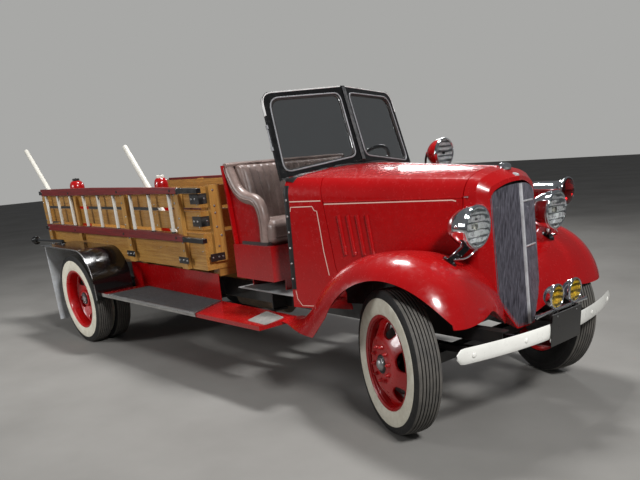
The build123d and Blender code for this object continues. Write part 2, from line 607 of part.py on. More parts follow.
def half_plane(foot_x, foot_z, top_x, top_z, back, half_width):
    """The plane of a right half section: x to the side and back, y up."""
    foot, top = Vector(foot_x, 0, foot_z), Vector(top_x, 0, top_z)
    up = (top - foot).normalized()
    side = Vector(-back, -half_width, 0)
    side = (side - up * side.dot(up)).normalized()
    return Plane(origin=foot, x_dir=side, z_dir=side.cross(up)), (top - foot).length


def half_section(row, inset):
    """One right half section of the shell, inset from its outer line."""
    foot_half, knee, corner = row[6] - inset * 0.6, row[7] + inset * 0.3, row[8]
    plane, height = half_plane(*row[:6])
    w, t = row[5] - inset, height - inset
    side_drop, middle_inset, middle_drop, end_inset, end_drop, crown_drop = corner
    with BuildSketch(plane) as section:
        with BuildLine():
            Polyline((0, inset), (foot_half, inset), (w, knee), (w, t - side_drop))
            ThreePointArc((w, t - side_drop), (w - middle_inset, t - middle_drop), (w - end_inset, t - end_drop))
            ThreePointArc((w - end_inset, t - end_drop), (w * 0.5, t - crown_drop), (0, t))
            Line((0, t), (0, inset))
        make_face()
    return section.sketch


def shell_half(insets, mode=Mode.ADD):
    """The right half of the solid inside the shell's outline, inset by one value at each section."""
    loft([half_section(row, inset) for row, inset in zip(SHELL_SECTIONS, insets)], ruled=True, mode=mode)


with BuildPart() as radiator_shell:
    shell_half((0, 0, 0))
    shell_half((SHELL_WALL, SHELL_WALL, SHELL_RIM), mode=Mode.SUBTRACT)
    mirror(about=Plane.XZ)
    rod(hinge_rear - hood_line * 11, hinge_front + hood_line * 15, HINGE_RADIUS)

CAP_X = 2452
with BuildPart() as radiator_cap:
    slope = (SHELL_SECTIONS[0][3] - SHELL_SECTIONS[1][3]) / (SHELL_SECTIONS[1][2] - HOOD_FRONT_X)
    cap_z = SHELL_SECTIONS[0][3] - slope * (CAP_X - HOOD_FRONT_X)
    turned([[(-4, 0), (26, 0), (26, 20), (20, 30), (8, 34), (-4, 34)]], (CAP_X, 0, cap_z + 1), (slope, 0, 1))
    add(radiator_shell.part, mode=Mode.SUBTRACT)
    block((CAP_X - 60, CAP_X + 60), (-60, 60), (cap_z - 80, cap_z - 7), mode=Mode.SUBTRACT)

# Grille: upright bars in a V, tied at four heights to the shell's inner wall
GRILLE_FOOT, GRILLE_TOP = (2634, 515), (2516, 1302)
GRILLE_PLANE, grille_height = half_plane(GRILLE_FOOT[0], GRILLE_FOOT[1], GRILLE_TOP[0], GRILLE_TOP[1],
                                         SHELL_SECTIONS[-1][4], SHELL_SECTIONS[-1][5])
GRILLE_HALF_WIDTH = SHELL_SECTIONS[-1][5] - SHELL_RIM
with BuildPart() as grille_ties:
    tie_reach = GRILLE_HALF_WIDTH + SHELL_RIM
    for height in (215, 370, 520, 650):
        with BuildSketch(GRILLE_PLANE.offset(8)):
            with Locations((tie_reach / 2, height)):
                Rectangle(tie_reach, 8)
        extrude(amount=6)
    add(radiator_shell.part, mode=Mode.SUBTRACT)
with BuildPart() as grille:
    for index in range(1, int(GRILLE_HALF_WIDTH / GRILLE_BAR_PITCH) + 1):
        with BuildSketch(GRILLE_PLANE):
            with Locations((index * GRILLE_BAR_PITCH, grille_height / 2)):
                Rectangle(GRILLE_BAR_WIDTH, grille_height)
        extrude(amount=10)
    shell_half((SHELL_WALL + GRILLE_ROOM, SHELL_WALL + GRILLE_ROOM, SHELL_RIM + GRILLE_ROOM), mode=Mode.INTERSECT)
    add(grille_ties.part)
    mirror(about=Plane.XZ)
    centre_line = Plane(origin=GRILLE_PLANE.origin, x_dir=(0, 1, 0), z_dir=GRILLE_PLANE.y_dir)
    with BuildSketch(centre_line.offset(SHELL_RIM + 8)):
        with Locations((0, 6)):
            Rectangle(12, 14)
    extrude(amount=grille_height - SHELL_RIM - 24)

# Front fenders: a crowned sheet along the crown's path, cut to the wheel opening and to the body
fender_depth = 200
with BuildPart() as front_fender_right:
    with BuildLine(SIDE_VIEW) as crown_line:
        tail_x = crown_path()
    start = crown_line.line @ 0
    heading = crown_line.line % 0
    section = Plane(origin=(start.X, -FENDER_CROWN_Y, start.Z), x_dir=(0, 1, 0), z_dir=heading)
    with BuildSketch(section):
        with BuildLine():
            lip, inner = FENDER_CROWN_Y - FENDER_LIP_Y, FENDER_CROWN_Y - FENDER_INNER_Y
            up = 1 if section.y_dir.X > 0 else -1
            for t in (0, SHEET):
                ThreePointArc((inner, -up * (FENDER_INNER_DROP + t)),
                              (inner * 0.5, -up * (FENDER_INNER_DROP * 0.27 + t)), (0, -up * t))
                ThreePointArc((0, -up * t), (lip * 0.72 + t * 0.5, -up * (58 + t)),
                              (lip + t, -up * fender_depth))
            Line((inner, -up * FENDER_INNER_DROP), (inner, -up * (FENDER_INNER_DROP + SHEET)))
            Line((lip, -up * fender_depth), (lip + SHEET, -up * fender_depth))
        make_face()
    sweep(path=Wire([e.moved(Location((0, -FENDER_CROWN_Y, 0))) for e in crown_line.edges()]))
    rod((FRONT_AXLE_X - 17, -FENDER_LIP_Y - 30, WHEEL_OPENING_Z),
        (FRONT_AXLE_X - 17, -FENDER_LIP_Y + 130, WHEEL_OPENING_Z), WHEEL_OPENING_RADIUS, mode=Mode.SUBTRACT)
    block((1000, 2900), (-1000, -700), (200, TAIL_Z - SHEET - 6), mode=Mode.SUBTRACT)
    with BuildSketch(Plane.YZ.offset(FRONT_AXLE_X - 200)) as below_edge:
        with BuildLine():
            Line((-1000, 300), (-1000, FENDER_EDGE_Z + 60))
            Line((-1000, FENDER_EDGE_Z + 60), (-890, FENDER_EDGE_Z + 40))
            ThreePointArc((-890, FENDER_EDGE_Z + 40), (-640, FENDER_EDGE_Z), (-430, FENDER_EDGE_Z + 18))
            ThreePointArc((-430, FENDER_EDGE_Z + 18), (-385, FENDER_EDGE_Z + 24), (-335, FENDER_EDGE_Z + 5))
            Polyline((-335, FENDER_EDGE_Z + 5), (-170, FENDER_EDGE_Z - 102), (-100, FENDER_EDGE_Z - 108), (-100, 300),
                     (-1000, 300))
        make_face()
    extrude(below_edge.sketch, amount=700, mode=Mode.SUBTRACT)
    block((1000, FRONT_AXLE_X + 60), (-560, 0), (200, FENDER_EDGE_Z), mode=Mode.SUBTRACT)
    block((1000, COWL_REAR_X - 9), (-BOARD_INNER_Y, 0), (200, 1300), mode=Mode.SUBTRACT)
    for x0, x1, room in ((COWL_REAR_X - 10, SEAM_TOP_X, 1), (SEAM_TOP_X, HOOD_FOOT_X, 1),
                         (HOOD_FOOT_X, HOOD_FRONT_X, HOOD_ROOM)):
        plan_sheet([(x0, -body_half_width(x0) - room), (x1, -body_half_width(x1) - room), (x1, 0), (x0, 0)],
                   560, 1300, mode=Mode.SUBTRACT)
    shell_half((-1, -1, -1), mode=Mode.SUBTRACT)
    block((HOOD_FRONT_X, 2900), (-93, 0), (300, 1100), mode=Mode.SUBTRACT)
with BuildPart() as front_fender_left:
    mirror(front_fender_right.part, about=Plane.XZ)

# Inner aprons: upright sheets beside the hood, from a flange on the frame up to the fenders
APRON_X = (1700, HOOD_FRONT_X + 40)
with BuildPart() as apron_sheet:
    (x0, y0), (x1, y1) = [(x, -body_half_width(x) - HOOD_ROOM - 1) for x in APRON_X]
    plan_sheet([(x0, y0), (x1, y1), (x1, y1 - SHEET), (x0, y0 - SHEET)], FLOOR_Z, 1000)
    add(front_fender_right.part, mode=Mode.SUBTRACT)
with BuildPart() as fender_aprons:
    add(apron_sheet.part.solids().sort_by(Axis.Z)[0])
    flange_y = -RAIL_Y - 12
    flange_x = x0 + (x1 - x0) * (flange_y - y0) / (y1 - y0)
    plan_sheet([(x0, y0 - 2), (flange_x, flange_y - 2), (flange_x, -RAIL_Y + 10), (x0, -RAIL_Y + 10)],
               FLOOR_Z, FLOOR_Z + SHEET)
    mirror(about=Plane.XZ)

# Rear fenders: a band over the dual tyres with a turned-down outer lip
with BuildPart() as rear_fenders:
    with BuildSketch(Plane(origin=(0, -REAR_FENDER_INNER_Y, 0), x_dir=(1, 0, 0), z_dir=(0, -1, 0))):
        with BuildLine() as rear_path:
            FilletPolyline((REAR_FENDER_FRONT_X, REAR_FENDER_BOTTOM_Z),
                           (REAR_FENDER_FRONT_X - 6, REAR_FENDER_TOP_Z - 6),
                           (REAR_FENDER_END_X, REAR_FENDER_TOP_Z - 6), radius=REAR_FENDER_RADIUS)
        trace(line_width=SHEET)
    extrude(amount=REAR_FENDER_OUTER_Y - REAR_FENDER_INNER_Y)
    mirror(about=Plane.XZ)

with BuildPart() as mud_flaps:
    block((REAR_FENDER_END_X + 30, REAR_FENDER_END_X + 36), (-1030, -715),
          (134, REAR_FENDER_TOP_Z - 6 - SHEET / 2 - SEAT_GAP))
    mirror(about=Plane.XZ)

# Running boards and the aprons inside them
with BuildPart() as running_boards:
    plan_sheet([(BOARD_REAR_X, -BOARD_INNER_Y), (BOARD_REAR_X, -BOARD_REAR_Y), (tail_x - 1, -BOARD_FRONT_Y),
                (tail_x - 1, -BOARD_INNER_Y)], BOARD_BOTTOM_Z, BOARD_TOP_Z)
    mirror(about=Plane.XZ)
with BuildPart() as splash_aprons:
    side_sheet([(APRON_REAR_X, BOARD_BOTTOM_Z), (APRON_FRONT_X, BOARD_BOTTOM_Z), (APRON_FRONT_X, APRON_TOP_Z),
                (APRON_REAR_X, APRON_TOP_Z)], -APRON_Y - SHEET, -APRON_Y)
    mirror(about=Plane.XZ)

# Floor: flat plate on the rails and a sloping toe board
with BuildPart() as floor_plate:
    floor_end = body_half_width(1480) - SHEET - 2
    plan_sheet([(600, -596), (COWL_REAR_X, -596), (1480, -floor_end), (1480, floor_end), (COWL_REAR_X, 596),
                (600, 596)], FLOOR_Z, FLOOR_Z + SHEET)
    side_sheet([(1300, FLOOR_Z + SHEET), (1306, FLOOR_Z + SHEET), (FIREWALL_X - SEAT_GAP, 880),
                (FIREWALL_X - SEAT_GAP, 888)], -540, 540)

# Windshield: two flat halves that meet in a V, each a frame around one pane
shield_foot_corner = Vector(1247, SHIELD_FOOT_Y, 1380)
shield_top_corner = Vector(1051, SHIELD_TOP_Y, 1890)
across = (shield_foot_corner - SHIELD_FOOT).normalized()
face_normal = across.cross(SHIELD_PEAK - SHIELD_FOOT).normalized()
LEFT_PANE = Plane(origin=SHIELD_FOOT, x_dir=across, z_dir=face_normal)


def pane_points(inset):
    """The left half's four corners in its own plane, inset from the edges."""
    corners = [LEFT_PANE.to_local_coords(p) for p in
               (SHIELD_FOOT, shield_foot_corner, shield_top_corner, SHIELD_PEAK)]
    signs = [(1, 1), (-1, 1), (-1, -1), (1, -1)]
    return [(c.X + sx * inset, c.Y + sy * inset) for c, (sx, sy) in zip(corners, signs)]


def pane_sheet(inset, low, high, mode=Mode.ADD):
    """A flat sheet in the left half's plane, its top outer corner rounded."""
    with BuildSketch(LEFT_PANE.offset(low)) as pane:
        with BuildLine():
            Polyline(*pane_points(inset), close=True)
        make_face()
        outer = vertices().sort_by(Axis.Y)[-2:].sort_by(Axis.X)[-1]
        fillet(outer, radius=max(60 - inset * 0.5, 20))
    extrude(pane.sketch, amount=high - low, mode=mode)


with BuildPart() as windshield_frame:
    pane_sheet(0, -SHIELD_THICKNESS / 2, SHIELD_THICKNESS / 2)
    pane_sheet(SHIELD_FRAME, -SHIELD_THICKNESS / 2 - 1, SHIELD_THICKNESS / 2 + 1, mode=Mode.SUBTRACT)
    mirror(about=Plane.XZ)
    body_loft([COWL_REAR_X - 60, SEAM_TOP_X], 1000, grow=SEAT_GAP, mode=Mode.SUBTRACT)
with BuildPart() as windshield_glass:
    pane_sheet(SHIELD_FRAME + SEAT_GAP, -GLASS_THICKNESS / 2, GLASS_THICKNESS / 2)
    mirror(about=Plane.XZ)
    body_loft([COWL_REAR_X - 60, SEAM_TOP_X], 1000, grow=SEAT_GAP, mode=Mode.SUBTRACT)

# Steering column and wheel
tilt = math.radians(COLUMN_ANGLE)
COLUMN_DOWN = Vector(math.cos(tilt), 0, -math.sin(tilt))
with BuildPart() as steering_column:
    rod(WHEEL_CENTRE + COLUMN_DOWN * 60, WHEEL_CENTRE + COLUMN_DOWN * COLUMN_LENGTH, COLUMN_RADIUS)
    rod(WHEEL_CENTRE + COLUMN_DOWN * 50, WHEEL_CENTRE + COLUMN_DOWN * 130, 10 + PIN_CLEARANCE,
        mode=Mode.SUBTRACT)
    gear = WHEEL_CENTRE + COLUMN_DOWN * COLUMN_LENGTH
    block((gear.X - 60, gear.X + 70), (gear.Y - 42, gear.Y + 30), (RAIL_TOP_Z, gear.Z + 86))
with BuildPart() as steering_wheel:
    turned([band(-22, 40, 0, 34), band(40, 118, 0, 10)], WHEEL_CENTRE, COLUMN_DOWN)
    with Locations(Plane(origin=WHEEL_CENTRE, z_dir=COLUMN_DOWN)):
        Torus(STEERING_WHEEL_RADIUS - 13, 13)
        with PolarLocations(0, 3, start_angle=90):
            with Locations(((STEERING_WHEEL_RADIUS - 13) / 2, 0, 0)):
                Box(STEERING_WHEEL_RADIUS - 13, 26, 9)

# The column's way through the firewall and the toe board
with BuildPart() as column_hole:
    rod(WHEEL_CENTRE, WHEEL_CENTRE + COLUMN_DOWN * (COLUMN_LENGTH + 100), COLUMN_RADIUS + 3)
with BuildPart() as firewall_cut:
    add(firewall.part)
    add(column_hole.part, mode=Mode.SUBTRACT)

# Seat: a red box, a cushion, a back cushion and the sheet behind it
with BuildPart() as seat_base:
    block((SEAT_REAR_X, SEAT_FRONT_X), (-SEAT_Y, SEAT_Y), (SEAT_BOX_BOTTOM_Z, SEAT_BOX_TOP_Z))
    block((SEAT_REAR_X + 12, SEAT_FRONT_X - 12), (-SEAT_Y + 12, SEAT_Y - 12),
          (SEAT_BOX_BOTTOM_Z - 1, SEAT_BOX_TOP_Z - 12), mode=Mode.SUBTRACT)
    for x in (SEAT_REAR_X + 20, SEAT_FRONT_X - 32):
        block((x, x + 12), (-480, 480), (FLOOR_Z + SHEET, SEAT_BOX_TOP_Z - 12))
with BuildPart() as seat_cushion:
    block((SEAT_REAR_X + 75, SEAT_FRONT_X), (-570, 570), (SEAT_BOX_TOP_Z + SEAT_GAP, CUSHION_TOP_Z))
    fillet(edges().group_by(Axis.Z)[-1], 40)
BACK_SHELL = [(SEAT_REAR_X, 960 + SEAT_GAP), (SEAT_REAR_X + 14, 960 + SEAT_GAP), (560, 1495), (546, 1495)]
with BuildPart() as seat_shell:
    side_sheet(BACK_SHELL, -590, 590)
with BuildPart() as seat_back:
    with BuildSketch(Plane(origin=(0, 575, 0), x_dir=(1, 0, 0), z_dir=(0, -1, 0))):
        with BuildLine():
            Line((SEAT_REAR_X + 14.3, SEAT_BOX_TOP_Z + SEAT_GAP), (560.4, 1495))
            Line((560.4, 1495), (600, 1512))
            back_foot_z, back_lap_z = SEAT_BOX_TOP_Z + SEAT_GAP, CUSHION_TOP_Z + SEAT_GAP
            ThreePointArc((600, 1512), (820, 1300), (SEAT_REAR_X + 240, back_lap_z))
            Line((SEAT_REAR_X + 240, back_lap_z), (SEAT_REAR_X + 74, back_lap_z))
            Line((SEAT_REAR_X + 74, back_lap_z), (SEAT_REAR_X + 74, back_foot_z))
            Line((SEAT_REAR_X + 74, back_foot_z), (SEAT_REAR_X + 14.3, back_foot_z))
        make_face()
    extrude(amount=1150)

# Bumper: a curved bar, and its brackets from the frame horns
BUMPER_FRONT_X = 2858
BUMPER_SAG = 130
BUMPER_HALF_SPAN = 795
BUMPER_THICKNESS = 14
BUMPER_Z = (493, 578)
bumper_radius = (BUMPER_HALF_SPAN ** 2 + BUMPER_SAG ** 2) / (2 * BUMPER_SAG)
with BuildPart() as bumper:
    with BuildSketch(Plane.XY.offset(BUMPER_Z[0])):
        with Locations((BUMPER_FRONT_X - bumper_radius, 0)):
            Circle(bumper_radius)
            Circle(bumper_radius - BUMPER_THICKNESS, mode=Mode.SUBTRACT)
        with Locations((2800, 0)):
            Rectangle(400, 2 * BUMPER_HALF_SPAN, mode=Mode.INTERSECT)
    extrude(amount=BUMPER_Z[1] - BUMPER_Z[0])
    fillet(edges().filter_by(Axis.X, tolerance=20).filter_by(lambda e: abs(e.center().Y) > 700), 34)
with BuildPart() as bumper_brackets:
    bracket_y = -RAIL_Y + RAIL_THICKNESS + SEAT_GAP
    block((FRAME_FRONT_X - 60, BUMPER_FRONT_X), (bracket_y, bracket_y + 24), (505, 553))
    with BuildSketch(Plane.XY.offset(400)):
        with Locations((BUMPER_FRONT_X - bumper_radius, 0)):
            Circle(bumper_radius - BUMPER_THICKNESS - SEAT_GAP)
    extrude(amount=300, mode=Mode.INTERSECT)
    mirror(about=Plane.XZ)

# Fog lamps on a bar over the bumper, with a blank plate in front
with BuildPart() as fog_lamps:
    block((2828, 2850), (-270, 240), (632, 652))
    for y in (-120, 120):
        block((2834, 2846), (y - 10, y + 10), (BUMPER_Z[1], 634))
    for y in (-86, 104):
        turned([[(0, 0), (0, 66), (-10, 68), (-50, 52), (-72, 24), (-76, 0)]], (2850, y, 716), (1, 0, 0))
        block((2824, 2838), (y - 10, y + 10), (650, 664))
with BuildPart() as front_plate:
    block((FRONT_END_X - 4, FRONT_END_X), (-156, 156), (452, 628))
    for y in (-100, 100):
        block((2850 + SEAT_GAP, FRONT_END_X - 4), (y - 8, y + 8), (612, 645))

# Headlamps, each on a post from its fender
with BuildPart() as headlamp_right:
    r = HEADLAMP_RADIUS
    turned([[(6, 0), (0, r - 6), (-4, r), (-18, r), (-60, r - 8), (-120, r - 34), (-170, r - 76), (-HEADLAMP_DEPTH, 0)]],
           HEADLAMP, (1, 0, 0))
    rod(HEADLAMP + Vector(-90, 0, -r + 26), (2440, -450, 880), 17)
    rod(HEADLAMP + Vector(-30, -10, -r + 12), (2500, -452, 880), 7)
    add(front_fender_right.part, mode=Mode.SUBTRACT)
with BuildPart() as headlamps:
    add(headlamp_right.part.solids().sort_by(SortBy.VOLUME)[-1])
    mirror(about=Plane.XZ)

# Siren on the left fender
SIREN = Vector(2509, 600, 1196)
with BuildPart() as siren_whole:
    turned([[(0, 0), (0, 82), (-14, 84), (-60, 62), (-90, 60), (-235, 60), (-249, 48), (-249, 0)]], SIREN, (1, 0, 0))
    rod((2330, 600, 1150), (2330, 600, 960), 20)
    add(front_fender_left.part, mode=Mode.SUBTRACT)

with BuildPart() as siren:
    add(siren_whole.part.solids().sort_by(SortBy.VOLUME)[-1])

# Spotlight on the left side of the cowl
SPOTLIGHT = Vector(1470, 745, 1462)
with BuildPart() as spotlight:
    turned([[(4, 0), (0, 98), (-16, 102), (-70, 92), (-120, 60), (-140, 24), (-170, 18), (-170, 0)]],
           SPOTLIGHT, (1, 0, 0))
    rod((1400, 745, 1400), (1400, 745, 1300), 11)
    rod((1400, 745, 1300), (1400, 560, 1300), 11)
    body_loft([COWL_REAR_X, SEAM_TOP_X], 1000, grow=SEAT_GAP, mode=Mode.SUBTRACT)

# Bed: floor with joists and stringers, side boards, stakes
JOISTS = [-2680, -2100, -1500, -850, -250, 330]
JOIST_Z = (704, BED_BOTTOM_Z)
with BuildPart() as bed_floor:
    block((BED_REAR_X + BOARD, BED_FRONT_X - BOARD), (-BED_Y + BOARD, BED_Y - BOARD),
          (BED_BOTTOM_Z, BED_BOTTOM_Z + BED_FLOOR))
    for y in (-1, 1):
        block((BED_REAR_X, BED_FRONT_X), sorted((y * 305, y * RAIL_Y)), (RAIL_TOP_Z, JOIST_Z[0] - SEAT_GAP))
    for x in JOISTS:
        block((x - 40, x + 40), (-APRON_Y + 8, APRON_Y - 8), (JOIST_Z[0], JOIST_Z[1] - SEAT_GAP))
COURSES = [(BED_BOTTOM_Z, 1034), (1062, 1194), (1220, BED_TOP_Z - 6)]
with BuildPart() as bed_boards:
    for low, high in COURSES:
        for y in (-1, 1):
            block((BED_REAR_X, BED_FRONT_X), sorted((y * (BED_Y - BOARD), y * BED_Y)), (low, high))
        block((BED_FRONT_X - BOARD, BED_FRONT_X), (-BED_Y, BED_Y), (low, high))
    block((BED_REAR_X, BED_REAR_X + BOARD), (-BED_Y, BED_Y), COURSES[0])
SIDE_STAKES = [(-2670, BED_BOTTOM_Z), (-1860, 900), (-790, BED_BOTTOM_Z), (110, BED_BOTTOM_Z)]
FRONT_STAKES = [-580, 0, 580]
with BuildPart() as bed_stakes:
    for x, low in SIDE_STAKES:
        for y in (-1, 1):
            block((x - STAKE_WIDTH / 2, x + STAKE_WIDTH / 2), sorted((y * BED_Y, y * (BED_Y + STAKE_DEPTH))),
                  (low, BED_TOP_Z))
    for y in FRONT_STAKES:
        block((BED_FRONT_X, BED_FRONT_X + STAKE_DEPTH), (y - 50, y + 50), (BED_BOTTOM_Z + 60, BED_TOP_Z))

# Ladders hung on the stakes, on edge
ladder_y = (BED_Y + STAKE_DEPTH, BED_Y + STAKE_DEPTH + LADDER_RAIL_DEPTH)
with BuildPart() as ladder_rails:
    for z in (LADDER_LOW_Z, LADDER_HIGH_Z):
        for side in (-1, 1):
            block((LADDER_REAR_X, LADDER_FRONT_X), sorted((side * ladder_y[0], side * ladder_y[1])),
                  (z - LADDER_RAIL_HEIGHT / 2, z + LADDER_RAIL_HEIGHT / 2))
with BuildPart() as ladder_rungs:
    for index in range(LADDER_RUNGS):
        x = LADDER_RUNG_REAR_X + index * LADDER_RUNG_PITCH
        for side in (-1, 1):
            y = side * (ladder_y[0] + LADDER_RAIL_DEPTH / 2)
            rod((x, y, LADDER_LOW_Z + LADDER_RAIL_HEIGHT / 2), (x, y, LADDER_HIGH_Z - LADDER_RAIL_HEIGHT / 2),
                LADDER_RUNG_RADIUS)

# Carried in the bed: two upright extinguishers and a leaning staff; a second staff stands on the ladder
BED_DECK_Z = BED_BOTTOM_Z + BED_FLOOR + SEAT_GAP
EXTINGUISHERS = [(-690, -400, 70, 655), (-2340, -480, 84, 685)]
STAFF_RADIUS = 22
BED_STAFF_Y = -(BED_Y - BOARD - SEAT_GAP - STAFF_RADIUS)
LADDER_STAFF_Y = -(ladder_y[0] + ladder_y[1]) / 2
STAFFS = [
    # foot x, top x, y, foot z, top z, lowest z
    (100, -742, BED_STAFF_Y, 785, 1696, BED_DECK_Z),
    (-2380, -2815, LADDER_STAFF_Y, 1370, 1778, LADDER_HIGH_Z + LADDER_RAIL_HEIGHT / 2 + SEAT_GAP),
]
with BuildPart() as bed_equipment:
    for x, y, r, height in EXTINGUISHERS:
        turned([[(0, 0), (0, r), (height - 130, r), (height - 85, r * 0.72), (height - 60, 26), (height - 30, 24),
                 (height - 30, 34), (height, 34), (height, 0)]], (x, y, BED_DECK_Z), (0, 0, 1))
with BuildPart() as staffs:
    for foot_x, top_x, y, foot_z, top_z, low_z in STAFFS:
        with BuildPart() as staff:
            rod((foot_x, y, foot_z), (top_x, y, top_z), STAFF_RADIUS)
            block((foot_x - 200, foot_x + 200), (y - 50, y + 50), (foot_z - 100, low_z), mode=Mode.SUBTRACT)
        add(staff.part)

# Tail lamps on arms from the rear fenders
TAIL_LAMP_Y = 850
TAIL_LAMP_Z = 872
with BuildPart() as tail_lamps:
    arm_z = REAR_FENDER_TOP_Z + 12
    rod((REAR_FENDER_END_X + 40, -TAIL_LAMP_Y, arm_z), (-2820, -TAIL_LAMP_Y, TAIL_LAMP_Z), 12)
    rod((REAR_END_X, -TAIL_LAMP_Y, TAIL_LAMP_Z), (-2810, -TAIL_LAMP_Y, TAIL_LAMP_Z), 46)
    rod((REAR_FENDER_END_X + 56, -TAIL_LAMP_Y, arm_z + 8),
        (REAR_FENDER_END_X + 56, -TAIL_LAMP_Y, REAR_FENDER_TOP_Z - 6 + SHEET / 2), 18)
    mirror(about=Plane.XZ)

PIECES = {
    "chassis_frame": chassis_frame, "front_axle": front_axle, "leaf_springs": leaf_springs,
    "rear_axle": rear_axle, "drive_shaft": drive_shaft, "engine_block": engine_block,
    "radiator_core": radiator_core, "exhaust": exhaust, "knuckle_right": knuckle_right,
    "knuckle_left": knuckle_left, "tie_rod": tie_rod, "tyre_front_right": tyre_front_right,
    "wheel_front_right": wheel_front_right, "tyre_front_left": tyre_front_left,
    "wheel_front_left": wheel_front_left, "tyres_rear_right": tyres_rear_right,
    "wheels_rear_right": wheels_rear_right, "tyres_rear_left": tyres_rear_left,
    "wheels_rear_left": wheels_rear_left, "cowl": cowl, "firewall": firewall_cut,
    "hood_top_right": hood_top_right, "hood_side_right": hood_side_right,
    "hood_top_left": hood_top_left, "hood_side_left": hood_side_left,
    "radiator_shell": radiator_shell, "radiator_cap": radiator_cap, "grille": grille,
    "front_fender_right": front_fender_right, "front_fender_left": front_fender_left,
    "fender_aprons": fender_aprons, "rear_fenders": rear_fenders, "mud_flaps": mud_flaps,
    "running_boards": running_boards, "splash_aprons": splash_aprons, "floor_plate": floor_plate,
    "windshield_frame": windshield_frame, "windshield_glass": windshield_glass,
    "steering_column": steering_column, "steering_wheel": steering_wheel, "seat_base": seat_base,
    "seat_cushion": seat_cushion, "seat_back": seat_back, "seat_shell": seat_shell,
    "bumper": bumper, "bumper_brackets": bumper_brackets, "fog_lamps": fog_lamps,
    "front_plate": front_plate, "headlamps": headlamps, "siren": siren, "spotlight": spotlight,
    "bed_floor": bed_floor, "bed_boards": bed_boards, "bed_stakes": bed_stakes,
    "ladder_rails": ladder_rails, "ladder_rungs": ladder_rungs, "tail_lamps": tail_lamps,
    "bed_equipment": bed_equipment, "staffs": staffs,
}
for label, piece in PIECES.items():
    piece.part.label = label
    export_step(piece.part, f"parts/{label}.step")
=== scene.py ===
"""Looks of the open-cab fire engine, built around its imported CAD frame. Metres, +X forward, +Y left, +Z up.

Places are in metres. Turned outlines, as (along, radius), swept sections and the radii of bars and bolts are in
millimetres.
"""
import math
import random

import bmesh
import bpy
from mathutils import Matrix, Vector
from mathutils.bvhtree import BVHTree


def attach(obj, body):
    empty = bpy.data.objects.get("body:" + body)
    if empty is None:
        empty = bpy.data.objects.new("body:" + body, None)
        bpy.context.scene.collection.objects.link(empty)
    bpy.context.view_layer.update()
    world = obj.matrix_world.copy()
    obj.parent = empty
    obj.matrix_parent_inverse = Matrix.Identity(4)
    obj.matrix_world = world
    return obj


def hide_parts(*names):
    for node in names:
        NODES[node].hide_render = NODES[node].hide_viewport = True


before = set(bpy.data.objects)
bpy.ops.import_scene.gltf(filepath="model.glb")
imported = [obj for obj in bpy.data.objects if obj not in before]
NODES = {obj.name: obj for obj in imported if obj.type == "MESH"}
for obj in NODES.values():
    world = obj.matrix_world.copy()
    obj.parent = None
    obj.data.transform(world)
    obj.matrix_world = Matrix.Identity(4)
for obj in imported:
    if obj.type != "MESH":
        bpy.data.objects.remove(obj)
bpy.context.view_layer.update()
random.seed(11)
scene = bpy.context.scene
SIDES = ((-1, "right"), (1, "left"))
FORWARD, LEFT, UP, DOWN = (1, 0, 0), (0, 1, 0), (0, 0, 1), (0, 0, -1)

# Camera at the photograph's angle
yaw, pitch, roll = math.radians(49.68), math.radians(20.115), math.radians(-4.595)
forward = Vector((-math.sin(yaw) * math.cos(pitch), math.cos(yaw) * math.cos(pitch), -math.sin(pitch)))
level = Vector((math.cos(yaw), math.sin(yaw), 0))
upright = level.cross(forward)
across = math.cos(roll) * level + math.sin(roll) * upright
upward = -math.sin(roll) * level + math.cos(roll) * upright
camera = bpy.data.objects.new("camera", bpy.data.cameras.new("camera"))
scene.collection.objects.link(camera)
camera_turn = Matrix((across, upward, -forward)).transposed().to_4x4()
camera.matrix_world = Matrix.Translation((4.5317, -3.2104, 1.5207)) @ camera_turn
camera.data.sensor_width = 36
camera.data.lens = 35.755
camera.data.shift_x = -0.0016
camera.data.shift_y = 0.2303
camera.data.clip_end = 100
scene.camera = camera
scene.view_settings.view_transform = "Standard"


def tint(red, green, blue):
    """A colour written as 0 to 255 on screen, as Blender's linear values."""
    shares = [c / 255 for c in (red, green, blue)]
    return tuple(c / 12.92 if c < 0.043 else ((c + 0.055) / 1.055) ** 2.4 for c in shares) + (1,)


def darker(colour, share):
    return tuple(c * share for c in colour[:3]) + (1,)


